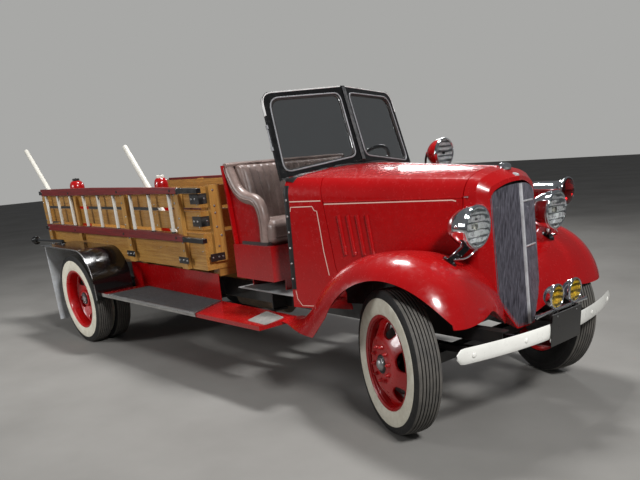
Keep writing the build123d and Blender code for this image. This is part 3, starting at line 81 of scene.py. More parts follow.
class Shader:
    """One procedural material: a Principled shader and the nodes that feed it."""

    def __init__(self, name, **values):
        self.material = bpy.data.materials.new(name)
        self.material.use_nodes = True
        self.tree = self.material.node_tree
        self.bsdf = self.tree.nodes["Principled BSDF"]
        self.point = self.tree.nodes.new("ShaderNodeTexCoord").outputs["Object"]
        self.bump = None
        for key, value in values.items():
            self.bsdf.inputs[key.replace("_", " ")].default_value = value

    def feed(self, made, key, value):
        """Link a socket to an input, or set the input to a plain value."""
        if isinstance(value, bpy.types.NodeSocket):
            self.tree.links.new(value, made.inputs[key])
        else:
            made.inputs[key].default_value = value

    def node(self, kind, inputs=(), **settings):
        made = self.tree.nodes.new("ShaderNode" + kind)
        for key, value in settings.items():
            setattr(made, key, value)
        for key, value in dict(inputs).items():
            self.feed(made, key, value)
        return made

    def noise(self, size, detail=4, rough=0.55, scale=(1, 1, 1), distortion=0.0):
        """Noise whose features are about size metres across."""
        mapped = self.node("Mapping", {"Vector": self.point, "Scale": scale}).outputs[0]
        return self.node("TexNoise", {"Vector": mapped, "Scale": 1 / size, "Detail": detail,
                                      "Roughness": rough, "Distortion": distortion}).outputs[0]

    def ramp(self, value, *stops):
        made = self.node("ValToRGB", {"Fac": value})
        while len(made.color_ramp.elements) < len(stops):
            made.color_ramp.elements.new(0.5)
        for element, (place, grey) in zip(made.color_ramp.elements, stops):
            element.position = place
            element.color = (grey, grey, grey, 1)
        return made.outputs[0]

    def mix(self, factor, first, second):
        return self.node("Mix", {0: factor, 6: first, 7: second}, data_type="RGBA", blend_type="MIX").outputs[2]

    def times(self, first, second):
        return self.node("Math", {0: first, 1: second}, operation="MULTIPLY").outputs[0]

    def facing_up(self, low=0.55, high=0.98):
        """1 where the surface faces up, 0 where it doesn't."""
        split = self.node("SeparateXYZ", {0: self.node("NewGeometry").outputs["Normal"]})
        return self.node("MapRange", {"Value": split.outputs[2], "From Min": low, "From Max": high}).outputs[0]

    def set(self, name, value):
        self.tree.links.new(value, self.bsdf.inputs[name])

    def add_bump(self, height, strength, distance):
        inputs = {"Height": height, "Strength": strength, "Distance": distance}
        if self.bump:
            inputs["Normal"] = self.bump
        self.bump = self.node("Bump", inputs).outputs[0]
        self.set("Normal", self.bump)


def paint(name, colour, rough=0.22, dust=0.08, peel=0.035, chips=None, coat=0.8):
    """Sprayed enamel: slow colour drift, dust on what faces up, orange peel, and small chips."""
    s = Shader(name, Roughness=rough, Coat_Weight=coat, Coat_Roughness=0.06, Specular_IOR_Level=0.5)
    base = s.mix(s.ramp(s.noise(0.55, 3), (0.35, 0), (0.75, 1)), colour, darker(colour, 0.72))
    if chips:
        spots = s.ramp(s.noise(0.011, 6, 0.7), (0.73, 0), (0.75, 1))
        patches = s.ramp(s.noise(0.22, 2), (0.56, 0), (0.68, 1))
        base = s.mix(s.times(spots, patches), base, chips)
    film = s.times(s.facing_up(), s.ramp(s.noise(0.07, 6, 0.65), (0.35, 0.25), (0.8, 1)))
    s.set("Base Color", s.mix(s.times(film, dust), base, tint(176, 168, 156)))
    s.set("Roughness", s.ramp(s.noise(0.03, 5, 0.6), (0.3, rough * 0.75), (0.75, rough * 1.5)))
    s.add_bump(s.noise(0.004, 2), peel, 0.0006)
    s.add_bump(s.noise(0.35, 2), 0.05, 0.004)
    return s.material


def metal(name, colour, rough=0.12, spots=0.5):
    """Plated or bare metal with hazy patches and fine pits."""
    s = Shader(name, Metallic=1.0, Roughness=rough)
    haze = s.ramp(s.noise(0.05, 6, 0.7), (0.4, 0), (0.75, 1))
    s.set("Base Color", s.mix(s.times(haze, spots), colour, darker(colour, 0.6)))
    s.set("Roughness", s.ramp(s.noise(0.02, 6, 0.7), (0.3, rough * 0.6), (0.8, rough * 2.2)))
    s.add_bump(s.noise(0.0016, 2), 0.04, 0.0003)
    return s.material


def wood(name, light, dark, along="X", gloss=0.28, grain=1.0):
    """Planks: long grain, growth bands, pores and a varnish or paint film."""
    s = Shader(name, Roughness=gloss, Coat_Weight=0.35, Coat_Roughness=0.15)
    stretch = {"X": (0.045, 1, 1), "Z": (1, 1, 0.045), "Y": (1, 0.045, 1)}[along]
    bands = s.ramp(s.noise(0.018, 5, 0.6, stretch, 1.2), (0.32, 0), (0.7, 1))
    fine = s.ramp(s.noise(0.0035, 4, 0.6, stretch), (0.35, 0), (0.75, 1))
    slow = s.ramp(s.noise(0.35, 3, 0.5, stretch), (0.3, 0), (0.75, 1))
    base = s.mix(s.times(fine, 0.4 * grain), s.mix(bands, light, dark), darker(dark, 0.45))
    s.set("Base Color", s.mix(s.times(slow, 0.45), base, darker(dark, 0.6)))
    s.set("Roughness", s.ramp(fine, (0, gloss * 0.8), (1, gloss * 1.7)))
    s.add_bump(fine, 0.25 * grain, 0.0006)
    s.add_bump(bands, 0.15 * grain, 0.0009)
    return s.material


def rubber(name, colour, worn, rough=0.62, size=0.012):
    """Rubber with worn, paler patches."""
    s = Shader(name, Roughness=rough, Specular_IOR_Level=0.35)
    s.set("Base Color", s.mix(s.ramp(s.noise(0.06, 6, 0.7), (0.35, 0), (0.75, 1)), colour, worn))
    s.set("Roughness", s.ramp(s.noise(size, 5), (0.3, rough * 0.85), (0.8, rough * 1.25)))
    s.add_bump(s.noise(size / 6, 3), 0.12, 0.0004)
    return s.material


def leather(name, colour, dark):
    """Hide with fine cells, creases and slow changes of colour."""
    s = Shader(name, Roughness=0.42, Specular_IOR_Level=0.45)
    cells = s.node("TexVoronoi", {"Vector": s.point, "Scale": 330.0}, feature="DISTANCE_TO_EDGE").outputs[0]
    crease = s.ramp(s.noise(0.03, 6, 0.7), (0.4, 0), (0.72, 1))
    base = s.mix(s.ramp(s.noise(0.16, 4), (0.3, 0), (0.75, 1)), colour, dark)
    s.set("Base Color", s.mix(s.times(crease, 0.35), base, darker(dark, 0.5)))
    s.set("Roughness", s.ramp(s.noise(0.02, 5), (0.3, 0.26), (0.8, 0.46)))
    s.add_bump(s.ramp(cells, (0, 0), (0.09, 1)), 0.16, 0.0005)
    s.add_bump(s.noise(0.02, 5), 0.12, 0.0014)
    return s.material


def plate(name, colour, rough=0.5, coat=0.0):
    """Dull painted or bare steel with grime."""
    s = Shader(name, Roughness=rough, Coat_Weight=coat)
    grime = s.ramp(s.noise(0.12, 7, 0.7), (0.35, 0), (0.75, 1))
    s.set("Base Color", s.mix(s.times(grime, 0.6), colour, tint(58, 50, 42)))
    s.set("Roughness", s.ramp(s.noise(0.03, 5), (0.3, rough * 0.8), (0.8, min(1, rough * 1.35))))
    s.add_bump(s.noise(0.006, 4), 0.12, 0.0006)
    return s.material


def glass(name, colour, rough=0.02):
    """Clear or tinted glass with a thin film of dust."""
    s = Shader(name, Roughness=rough, IOR=1.45, Transmission_Weight=1.0)
    dusty = s.ramp(s.noise(0.1, 6, 0.7), (0.35, 0), (0.8, 1))
    s.set("Base Color", s.mix(s.times(dusty, 0.15), colour, darker(colour, 0.8)))
    s.set("Roughness", s.ramp(dusty, (0, rough), (1, rough * 3 + 0.01)))
    s.add_bump(s.noise(0.6, 2), 0.03, 0.003)
    return s.material


def streaked(name, light, dark, size=0.0045):
    """Upright bars that catch the light unevenly."""
    s = Shader(name, Roughness=0.36, Coat_Weight=0.4)
    streak = s.ramp(s.noise(size, 3, 0.6, (1, 1, 0.016)), (0.34, 0), (0.72, 1))
    s.set("Base Color", s.mix(streak, dark, light))
    s.add_bump(s.noise(0.004, 3), 0.1, 0.0006)
    return s.material


def banded(name, light, dark, pitch=0.032):
    """A silvered bowl with painted light and dark level bands: a painted reflection of the bands that show
    through the lens.
    """
    s = Shader(name, Metallic=0.45, Roughness=0.3)
    wave = s.node("TexWave", {"Vector": s.point, "Scale": 0.314 / pitch, "Distortion": 2.6, "Detail": 3.0,
                              "Detail Scale": 2.0}, wave_type="BANDS", bands_direction="Z").outputs[1]
    s.set("Base Color", s.mix(s.ramp(wave, (0.25, 0), (0.6, 1)), dark, light))
    s.set("Roughness", s.ramp(s.noise(0.01, 4), (0.3, 0.22), (0.8, 0.4)))
    s.add_bump(wave, 0.3, 0.002)
    return s.material


RED = paint("red_enamel", tint(168, 1, 5), dust=0.02, peel=0.003, chips=tint(150, 8, 10), coat=0.4)
DEEP_RED = paint("red_wheel_enamel", tint(184, 3, 7), rough=0.3, dust=0.02, chips=tint(70, 16, 14), coat=0.4)
BLACK = paint("black_enamel", tint(6, 6, 7), rough=0.2, dust=0.02, coat=0.5)
CREAM = paint("cream_enamel", tint(248, 247, 240), rough=0.3, dust=0.03, chips=tint(190, 184, 170))
STRIPE = paint("stripe_enamel", tint(232, 196, 182), rough=0.35, dust=0.0)
RAIL_SLEEVE = paint("sleeve_black", tint(18, 16, 18), rough=0.35, dust=0.1)
FRAME = plate("frame_black", tint(30, 30, 32), 0.5, 0.2)
IRON = plate("cast_iron", tint(62, 60, 58), 0.62)
EXHAUST = plate("exhaust_steel", tint(112, 92, 74), 0.6)
FLOOR = plate("floor_plate_grey", tint(150, 152, 152), 0.5, 0.1)
MAT = plate("board_mat", tint(58, 58, 60), 0.75)
IRONWORK = plate("black_ironwork", tint(20, 20, 22), 0.42, 0.3)
STEP_METAL = plate("step_metal", tint(150, 148, 144), 0.45)
# Near-white for the windshield's chrome top corner trim: a painted highlight.
TRIM_PAINTED_HIGHLIGHT = plate("trim_painted_highlight", tint(240, 240, 238), 0.35, 0.3)
BEAD = plate("grey_bead", tint(150, 152, 156), 0.5)
# Light grey for the chrome grille brightwork: a painted reflection.
BRIGHTWORK_PAINTED_REFLECTION = plate("brightwork_painted_reflection", tint(200, 201, 204), 0.3, 0.6)
CHROME = metal("chrome", tint(226, 228, 232), 0.06, 0.25)
STEEL = metal("dull_steel", tint(176, 176, 176), 0.32, 0.5)
BRASS = metal("brass", tint(196, 160, 92), 0.25, 0.5)
TREAD = rubber("tread_rubber", tint(24, 24, 25), tint(40, 38, 36))
TREAD_TOP = rubber("tread_top_rubber", tint(74, 72, 69), tint(98, 94, 88), rough=0.7)
WHITEWALL = rubber("whitewall_rubber", tint(232, 228, 212), tint(206, 198, 178), rough=0.5)
FLAP = rubber("flap_rubber", tint(224, 227, 231), tint(198, 198, 196), rough=0.7)
HOSE = rubber("hose_rubber", tint(24, 24, 26), tint(44, 42, 40), rough=0.45)
PLANK = wood("varnished_plank", tint(204, 158, 84), tint(160, 108, 48), "X")
STAKE = wood("varnished_stake", tint(214, 168, 92), tint(172, 120, 56), "Z")
CROSS_PLANK = wood("varnished_cross_plank", tint(196, 148, 78), tint(150, 100, 44), "Y")
LADDER = wood("ladder_red", tint(136, 30, 28), tint(96, 18, 18), "X", 0.4, 0.6)
RUNG = wood("rung_white", tint(232, 230, 222), tint(204, 200, 188), "Z", 0.4, 0.4)
LEATHER = leather("brown_leather", tint(158, 138, 131), tint(112, 92, 85))
PANE = glass("tinted_pane", tint(176, 178, 178))
AMBER = glass("amber_lens", tint(255, 205, 40), 0.08)
RED_LENS = glass("red_lens", tint(190, 10, 14), 0.08)
LENS_RIBBED = glass("ribbed_lens", tint(240, 243, 244), 0.03)
BULB = glass("bulb_glass", tint(244, 240, 226), 0.05)
BARS = streaked("grille_bars", tint(116, 114, 124), tint(44, 43, 50))
# Lamp reflectors: their light and dark bands are a painted reflection.
REFLECTOR = banded("silvered_reflector", tint(253, 253, 253), tint(120, 124, 126))

CAD_LOOKS = [
    (FRAME, "chassis_frame front_axle leaf_springs rear_axle drive_shaft"),
    (FRAME, "knuckle_right knuckle_left tie_rod grille"),
    (IRON, "engine_block radiator_core"),
    (EXHAUST, "exhaust"),
    (RED, "cowl hood_top_right hood_top_left hood_side_right hood_side_left radiator_shell front_fender_right"),
    (RED, "front_fender_left running_boards splash_aprons seat_base seat_shell spotlight bed_equipment"),
    (BLACK, "firewall fender_aprons rear_fenders windshield_frame steering_column steering_wheel"),
    (BLACK, "bumper_brackets front_plate"),
    (CHROME, "radiator_cap fog_lamps headlamps siren tail_lamps"),
    (FLAP, "mud_flaps"),
    (FLOOR, "floor_plate"),
    (PANE, "windshield_glass"),
    (CREAM, "bumper"),
    (CROSS_PLANK, "bed_floor"),
    (PLANK, "bed_boards"),
    (STAKE, "bed_stakes"),
    (LADDER, "ladder_rails"),
    (RUNG, "ladder_rungs staffs"),
    (LEATHER, "seat_cushion seat_back"),
    (TREAD, "tyre_front_right tyre_front_left tyres_rear_right tyres_rear_left"),
    (DEEP_RED, "wheel_front_right wheel_front_left wheels_rear_right wheels_rear_left"),
]
for look, names in CAD_LOOKS:
    for name in names.split():
        slots = NODES[name].data.materials
        if not slots:
            slots.append(look)
        for index in range(len(slots)):
            slots[index] = look


def turns(count, first=0.0):
    """Angles spread evenly round a circle."""
    return [first + 2 * math.pi * k / count for k in range(count)]


def basis(direction):
    """A unit direction and two more square to it."""
    d = Vector(direction).normalized()
    side = d.cross(Vector(UP) if abs(d.z) < 0.9 else Vector(FORWARD)).normalized()
    return d, side, d.cross(side)


def join(bm, first, second, count, look):
    """Faces between two rings, either of which may be one point."""
    for k in range(count):
        n = (k + 1) % count
        corners = [ring[i % len(ring)] for ring, i in ((first, k), (first, n), (second, n), (second, k))]
        corners = list(dict.fromkeys(corners))
        if len(corners) > 2:
            bm.faces.new(corners).material_index = look


def skin(bm, rows, look=0, closed=False):
    """Faces between rows of vertices. In closed rows the last vertex joins the first."""
    for a, b in zip(rows, rows[1:]):
        for k in range(len(a) - (not closed)):
            n = (k + 1) % len(a)
            bm.faces.new((a[k], a[n], b[n], b[k])).material_index = look


def tube(bm, rings, look=0):
    """A skin round rings of vertices, with its two ends shut."""
    skin(bm, rings, look, True)
    bm.faces.new(rings[0][::-1]).material_index = look
    bm.faces.new(rings[-1]).material_index = look


def lathe(bm, outline, centre, direction, steps=48, look=0, looks=None, angles=None):
    """Turn (along, radius) points, in millimetres, about an axis. looks gives each band its own material."""
    d, side, up = basis(direction)
    angles = angles or turns(steps)
    rings = []
    for along, radius in outline:
        foot, reach = Vector(centre) + d * along / 1000, radius / 1000
        if reach < 1e-6:
            rings.append([bm.verts.new(foot)])
        else:
            rings.append([bm.verts.new(foot + (side * math.cos(a) + up * math.sin(a)) * reach) for a in angles])
    for index, (first, second) in enumerate(zip(rings, rings[1:])):
        join(bm, first, second, len(angles), looks[index] if looks else look)


def dome(foot, rise, radius, count):
    """A turned outline from the rim at foot to a crown, or a bowl where the rise is negative."""
    return [(foot + rise * (1 - (k / count) ** 2), radius * k / count) for k in range(count, -1, -1)]


def bar(bm, start, end, radius, steps=16, look=0):
    """A round bar with closed ends, its radius in millimetres."""
    run = Vector(end) - Vector(start)
    reach = run.length * 1000
    lathe(bm, [(0, 0), (0, radius), (reach, radius), (reach, 0)], start, run, steps, look)


def block(bm, low, high, look=0):
    """A block between two corners."""
    (x0, y0, z0), (x1, y1, z1) = low, high
    v = [bm.verts.new(p) for p in ((x0, y0, z0), (x1, y0, z0), (x1, y1, z0), (x0, y1, z0),
                                   (x0, y0, z1), (x1, y0, z1), (x1, y1, z1), (x0, y1, z1))]
    for ring in ((0, 3, 2, 1), (4, 5, 6, 7), (0, 1, 5, 4), (1, 2, 6, 5), (2, 3, 7, 6), (3, 0, 4, 7)):
        bm.faces.new([v[i] for i in ring]).material_index = look


def prism(bm, points, depth, look=0):
    """A plate between an outline and its copy moved by depth."""
    low = [bm.verts.new(Vector(p)) for p in points]
    high = [bm.verts.new(Vector(p) + Vector(depth)) for p in points]
    bm.faces.new(low[::-1]).material_index = look
    bm.faces.new(high).material_index = look
    skin(bm, [low, high], look, True)


def round_section(radius, count=10, flat=1.0):
    return [(radius * math.cos(a), radius * flat * math.sin(a)) for a in turns(count)]


def oblong(wide, tall):
    """A square-cornered section from its half width and half height."""
    return [(-wide, -tall), (wide, -tall), (wide, tall), (-wide, tall)]


def sweep(bm, path, section, up, look=0, closed=False, scales=None):
    """Carry a section of (side, up) points, in millimetres, along a path."""
    path = [Vector(p) for p in path]
    rings = []
    for index, point in enumerate(path):
        before = path[index - 1] if index or closed else point
        after = path[(index + 1) % len(path)] if index + 1 < len(path) or closed else point
        along = (after - before).normalized()
        side = along.cross(Vector(up)).normalized()
        rise = side.cross(along)
        grow = (scales[index] if scales else 1) / 1000
        rings.append([bm.verts.new(point + (side * s + rise * u) * grow) for s, u in section])
    if closed:
        skin(bm, rings + rings[:1], look, True)
    else:
        tube(bm, rings, look)


def curve(points, steps=6):
    """A smooth line through points, a few steps for each run."""
    pts = [Vector(p) for p in points]
    pts = [2 * pts[0] - pts[1]] + pts + [2 * pts[-1] - pts[-2]]
    line = []
    for a, b, c, d in zip(pts, pts[1:], pts[2:], pts[3:]):
        for k in range(steps):
            t = k / steps
            line.append(0.5 * (2 * b + (c - a) * t + (2 * a - 5 * b + 4 * c - d) * t * t
                               + (3 * b - a - 3 * c + d) * t ** 3))
    return line + [pts[-2]]


def through(table, value):
    """Read a smooth line through (key, value) pairs at one key."""
    keys = [k for k, _ in table]
    value = min(max(value, keys[0]), keys[-1])
    index = min(max(next(i for i, k in enumerate(keys) if k >= value), 1), len(keys) - 1)
    slopes = []
    for i in (index - 1, index):
        (xa, ya), (xb, yb) = table[max(i - 1, 0)], table[min(i + 1, len(table) - 1)]
        slopes.append((yb - ya) / (xb - xa))
    (x0, y0), (x1, y1) = table[index - 1], table[index]
    span, t = x1 - x0, (value - x0) / (x1 - x0)
    return ((2 * t ** 3 - 3 * t * t + 1) * y0 + (t ** 3 - 2 * t * t + t) * span * slopes[0]
            + (3 * t * t - 2 * t ** 3) * y1 + (t ** 3 - t * t) * span * slopes[1])


def rounded(corners, radii, steps=6):
    """A closed outline with rounded corners."""
    line = []
    for k, (corner, radius) in enumerate(zip(corners, radii)):
        here = Vector(corner)
        back = (Vector(corners[k - 1]) - here).normalized()
        ahead = (Vector(corners[(k + 1) % len(corners)]) - here).normalized()
        for step in range(steps + 1):
            t = step / steps
            line.append(here + back * radius * (1 - t) ** 2 + ahead * radius * t * t)
    return line


def bolts(bm, places, direction, radius, height, look=0, steps=10):
    """Bolt heads, each a low turned button. Radius and height are in millimetres."""
    button = [(-1, radius), (height * 0.6, radius), (height, radius * 0.72), (height, 0)]
    for place in places:
        lathe(bm, button, place, direction, steps, look)


def soften(made, width, angle=30):
    """Round an object's edges where two faces meet at more than this angle."""
    rounding = made.modifiers.new("edges", "BEVEL")
    rounding.width, rounding.segments, rounding.limit_method = width, 2, "ANGLE"
    rounding.angle_limit = math.radians(angle)


def piece(name, bm, looks, replaces=(), sharp=38, edge=0.0, body="chassis"):
    """Make a bmesh an object that rides on a body, with soft shading and, if asked, rounded edges."""
    bmesh.ops.remove_doubles(bm, verts=bm.verts, dist=0.00001)
    bmesh.ops.recalc_face_normals(bm, faces=bm.faces)
    for face in bm.faces:
        face.smooth = True
    for line in bm.edges:
        if len(line.link_faces) == 2 and line.calc_face_angle(0) > math.radians(sharp):
            line.smooth = False
    mesh = bpy.data.meshes.new(name)
    bm.to_mesh(mesh)
    bm.free()
    for look in looks:
        mesh.materials.append(look)
    made = bpy.data.objects.new(name, mesh)
    scene.collection.objects.link(made)
    if edge:
        soften(made, edge)
    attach(made, body)
    if replaces:
        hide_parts(*replaces)
    return made


def surface(node):
    """A tree for finding points on a CAD node."""
    made = NODES[node]
    return BVHTree.FromPolygons([made.matrix_world @ v.co for v in made.data.vertices],
                                [p.vertices for p in made.data.polygons])


def seat_on(tree, start, direction, lift=0.0):
    """The first point that a line meets on a node, lifted back along the line."""
    return tree.ray_cast(Vector(start), Vector(direction))[0] - Vector(direction).normalized() * lift


# Tyres, in millimetres: cream sidewall band outside, ribbed tread
TYRE_LOOKS = [TREAD, WHITEWALL, TREAD_TOP]
TREAD_HALF = 63.5
RIBS = 7
LUGS = 56
LUG_AT, LUG_RUN, LUG_STEP, LUG_HALF = (0.0682, 0.3865), (0.0068, 0.0118), (0.0018, 0.0008), 0.006
SIDEWALL = [(50, 259), (60, 260), (66.5, 268), (73, 283), (76.5, 300), (77.6, 320), (76.8, 340),
            (74.2, 356), (73.4, 360.5), (72.2, 361.2), (72, 364), (70.6, 376), (69, 387), (67.2, 393),
            (65.6, 398.5), (64, 403)]


def tyre_outline():
    tread = []
    pitch = 2 * TREAD_HALF / RIBS
    for index in range(RIBS):
        left = TREAD_HALF - index * pitch
        for place, sunk in ((left - 2.1, 9), (left - 2.7, 0.6), (left - 3.8, 0), (left - pitch + 3.8, 0),
                            (left - pitch + 2.7, 0.6), (left - pitch + 2.1, 9)):
            tread.append((place, 403.8 + 6 * (1 - (place / TREAD_HALF) ** 2) - sunk))
    return SIDEWALL + tread[1:-1] + [(-a, r) for a, r in reversed(SIDEWALL)]


def tyre(bm, centre, outward):
    outline = tyre_outline()
    looks = [1 if a > 50 and c > 50 and 266 < (b + d) / 2 < 360.8 else (2 if min(b, d) > 402.5 else 0)
             for (a, b), (c, d) in zip(outline, outline[1:])]
    lathe(bm, outline, centre, outward, 112, looks=looks)
    d, side, up = basis(outward)
    for angle in turns(LUGS, math.pi / LUGS):
        spoke = side * math.cos(angle) + up * math.sin(angle)
        run = d.cross(spoke) * LUG_HALF
        for out in (-d, d):
            spot = centre + out * LUG_AT[0] + spoke * LUG_AT[1]
            tip = spot - out * LUG_RUN[0] + spoke * LUG_RUN[1]
            prism(bm, [spot - run, spot + run, tip + run, tip - run], out * LUG_STEP[0] + spoke * LUG_STEP[1])


# Wheels, in millimetres: pressed discs with six rounded hand holes
DISH = [(30, 89.5), (60, 90.5), (100, 91), (128, 89.5), (150, 84), (175, 72.5), (203, 56.5), (225, 44),
        (240.5, 35), (250, 28)]
HOLE_RADIUS, HOLE_CIRCLE, HOLE_COUNT, HOLE_STEPS = 40, 200, 6, 64
HOLE_SQUARENESS = 2 / 2.7
DISC_INNER, DISC_OUTER = 153, 240.5
RIM_LIP = [(50, 249.5), (54, 250), (56, 253), (60, 254), (64, 255), (66, 259), (68, 264), (70.5, 267.2),
           (72.5, 268), (71.5, 270), (66, 270)]


def holed_disc(bm, centre, outward, flip, shift, first):
    """A dished disc whose holes have rolled edges. flip is 1 where it bulges outward, -1 where inward."""
    d, side, up = basis(outward)

    def place(angle, radius, drop=0.0):
        along = flip * through(DISH, radius) + shift - drop
        spoke = side * math.cos(angle) + up * math.sin(angle)
        return bm.verts.new(centre + (d * along + spoke * radius) / 1000)

    half = math.pi / HOLE_COUNT
    middle, reach = (DISC_INNER + DISC_OUTER) / 2, (DISC_OUTER - DISC_INNER) / 2
    ring_angles = []
    for sector in range(HOLE_COUNT):
        turn = first + 2 * half * sector
        rows = []
        for k, t in enumerate(turns(HOLE_STEPS)):
            c, s = math.cos(t), math.sin(t)
            hx, hy = (math.copysign(abs(v) ** HOLE_SQUARENESS, v) for v in (c, s))
            hole = (HOLE_RADIUS * 1.32 / HOLE_CIRCLE * hx * (1 + 0.14 * hy),
                    HOLE_CIRCLE + HOLE_RADIUS * 0.95 * hy)
            most = max(abs(c), abs(s))
            edge = (half * c / most, middle + reach * s / most)
            if s >= abs(c) - 1e-9 and k < 3 * HOLE_STEPS // 8:
                ring_angles.append(turn + half * c / most)
            row = [place(turn + hole[0], hole[1], drop) for drop in (11, 2)]
            for u in (0.05, 0.16, 0.45, 1.0):
                angle, radius = (hole[i] + (edge[i] - hole[i]) * u for i in (0, 1))
                row.append(place(turn + angle, radius))
            rows.append(row)
        skin(bm, rows + rows[:1])
    ring_angles.sort()
    for radii in ((30, 45, 60, 80, 100, 115, 128, 138, 148, DISC_INNER), (DISC_OUTER, 245, 250)):
        lathe(bm, [(flip * through(DISH, r) + shift, r) for r in radii], centre, outward, angles=ring_angles)


def rim(bm, centre, outward, disc_at):
    """The rim's barrel with a stepped lip each side."""
    inner_lip = sorted([(-a, r) for a, r in reversed(RIM_LIP)], key=lambda p: p[0])
    lathe(bm, inner_lip + [(-20, 247), (disc_at, 248), (30, 248.5)] + RIM_LIP, centre, outward, 96)


def nuts(bm, centre, outward, circle, count, along, look, radius=10.5, height=16):
    """A ring of wheel nuts with their studs."""
    d, side, up = basis(outward)
    outline = [(0, radius * 1.5), (3, radius * 1.45), (3, radius), (height * 0.8, radius),
               (height, radius * 0.75), (height, radius * 0.5), (height + 6, radius * 0.45), (height + 6, 0)]
    for angle in turns(count, 0.2):
        spoke = side * math.cos(angle) + up * math.sin(angle)
        lathe(bm, outline, centre + (d * along + spoke * circle) / 1000, outward, 12, look)


STEER = math.radians(-23.2)
KINGPIN_X, KINGPIN_Y, KINGPIN_TO_WHEEL = 2.297, 0.606, 0.115
HUB_Z = 0.41
REAR_X, REAR_Y, DUAL_SPACING = -1.44, 0.962, 0.18


def front_wheel(sign, hand):
    """A steered wheel, turned as in the photograph."""
    body, tyres = f"wheel_front_{hand}", f"tyre_front_{hand}"
    outward = Vector((-sign * math.sin(STEER), sign * math.cos(STEER), 0))
    centre = Vector((KINGPIN_X, sign * KINGPIN_Y, HUB_Z)) + outward * KINGPIN_TO_WHEEL
    bm = bmesh.new()
    tyre(bm, centre, outward)
    piece(tyres + "_dressed", bm, TYRE_LOOKS, [tyres], 50, body=body)
    bm = bmesh.new()
    holed_disc(bm, centre, outward, 1, 0, math.radians(16))
    rim(bm, centre, outward, 26)
    lathe(bm, [(90.5, 55), (94.5, 53), (96, 49), (94, 46), (92.5, 28)], centre, outward, 48, 1)
    lathe(bm, [(92, 37), (98, 36), (100, 33), (105, 32), (109.5, 28), (113.5, 20), (115.5, 10), (116, 0)],
          centre, outward, 48, 2)
    lathe(bm, [(-66, 188), (-12, 190), (-4, 184), (0, 150), (2, 60)], centre, outward, 64, 1)
    nuts(bm, centre, outward, 98, 10, 90.5, 0)
    piece(body + "_dressed", bm, [DEEP_RED, IRONWORK, STEEL], [body], 45, body=body)


def rear_wheels(sign, hand):
    """A pair of rear wheels on one hub."""
    body, tyres = f"wheels_rear_{hand}", f"tyres_rear_{hand}"
    centre, outward = Vector((REAR_X, sign * REAR_Y, HUB_Z)), Vector((0, sign, 0))
    inner = centre - outward * DUAL_SPACING
    bm = bmesh.new()
    tyre(bm, centre, outward)
    tyre(bm, inner, outward)
    piece(tyres + "_dressed", bm, TYRE_LOOKS, [tyres], 50, body=body)
    bm = bmesh.new()
    holed_disc(bm, centre, outward, -1, 8, 0.3)
    holed_disc(bm, inner, outward, 1, 0, 0.3)
    rim(bm, centre, outward, -26)
    rim(bm, inner, outward, 26)
    lathe(bm, [(-84, 110), (-60, 84), (-20, 78), (4, 78), (10, 74), (12, 66), (12, 56)], centre, outward, 48, 0)
    lathe(bm, [(12, 58), (18, 56), (20, 50), (20, 0)], centre, outward, 48, 1)
    lathe(bm, [(18, 30), (21, 29), (22, 20), (22, 0)], centre, outward, 24, 2)
    nuts(bm, centre, outward, 43, 8, 17, 2, 6.5, 3.5)
    nuts(bm, centre, outward, 102, 8, -83, 0)
    lathe(bm, [(-240, 204), (-125, 205), (-120, 195), (-120, 78)], centre, outward, 64, 1)
    piece(body + "_dressed", bm, [DEEP_RED, FRAME, CHROME], [body], 45, body=body)


# Windshield: dark frame halves with bright beads, corner trims and side clips
FOOT, SILL_END = Vector((1.364, 0, 1.453)), Vector((1.247, 0.617, 1.38))
TOP_END, PEAK = Vector((1.051, 0.579, 1.89)), Vector((1.199, 0, 1.927))
PANE_ALONG = (SILL_END - FOOT).normalized()
PANE_NORMAL = PANE_ALONG.cross(PEAK - FOOT).normalized()
PANE_RISE = PANE_NORMAL.cross(PANE_ALONG).normalized()


def pane_place(hand, s, u, lift=0.0):
    """A point on one windshield half: s metres outward along the foot, u up the pane, lift forward of it."""
    spot = FOOT + PANE_ALONG * s + PANE_RISE * u + PANE_NORMAL * lift
    return Vector((spot.x, spot.y * hand, spot.z))


def pane_corners(inset):
    """The four corners of a half in its own plane, in (s, u)."""
    flat = [((c - FOOT).dot(PANE_ALONG), (c - FOOT).dot(PANE_RISE)) for c in (FOOT, SILL_END, TOP_END, PEAK)]
    inward = ((1, 1), (-1, 1), (-1, -1), (1, -1))
    return [(s + a * inset, u + b * inset) for (s, u), (a, b) in zip(flat, inward)]


def pane_side(u):
    """Where the half's outer edge is at a height up the pane."""
    low, high = pane_corners(0)[1][0], pane_corners(0)[2][0]
    return low + (high - low) * u / 0.52


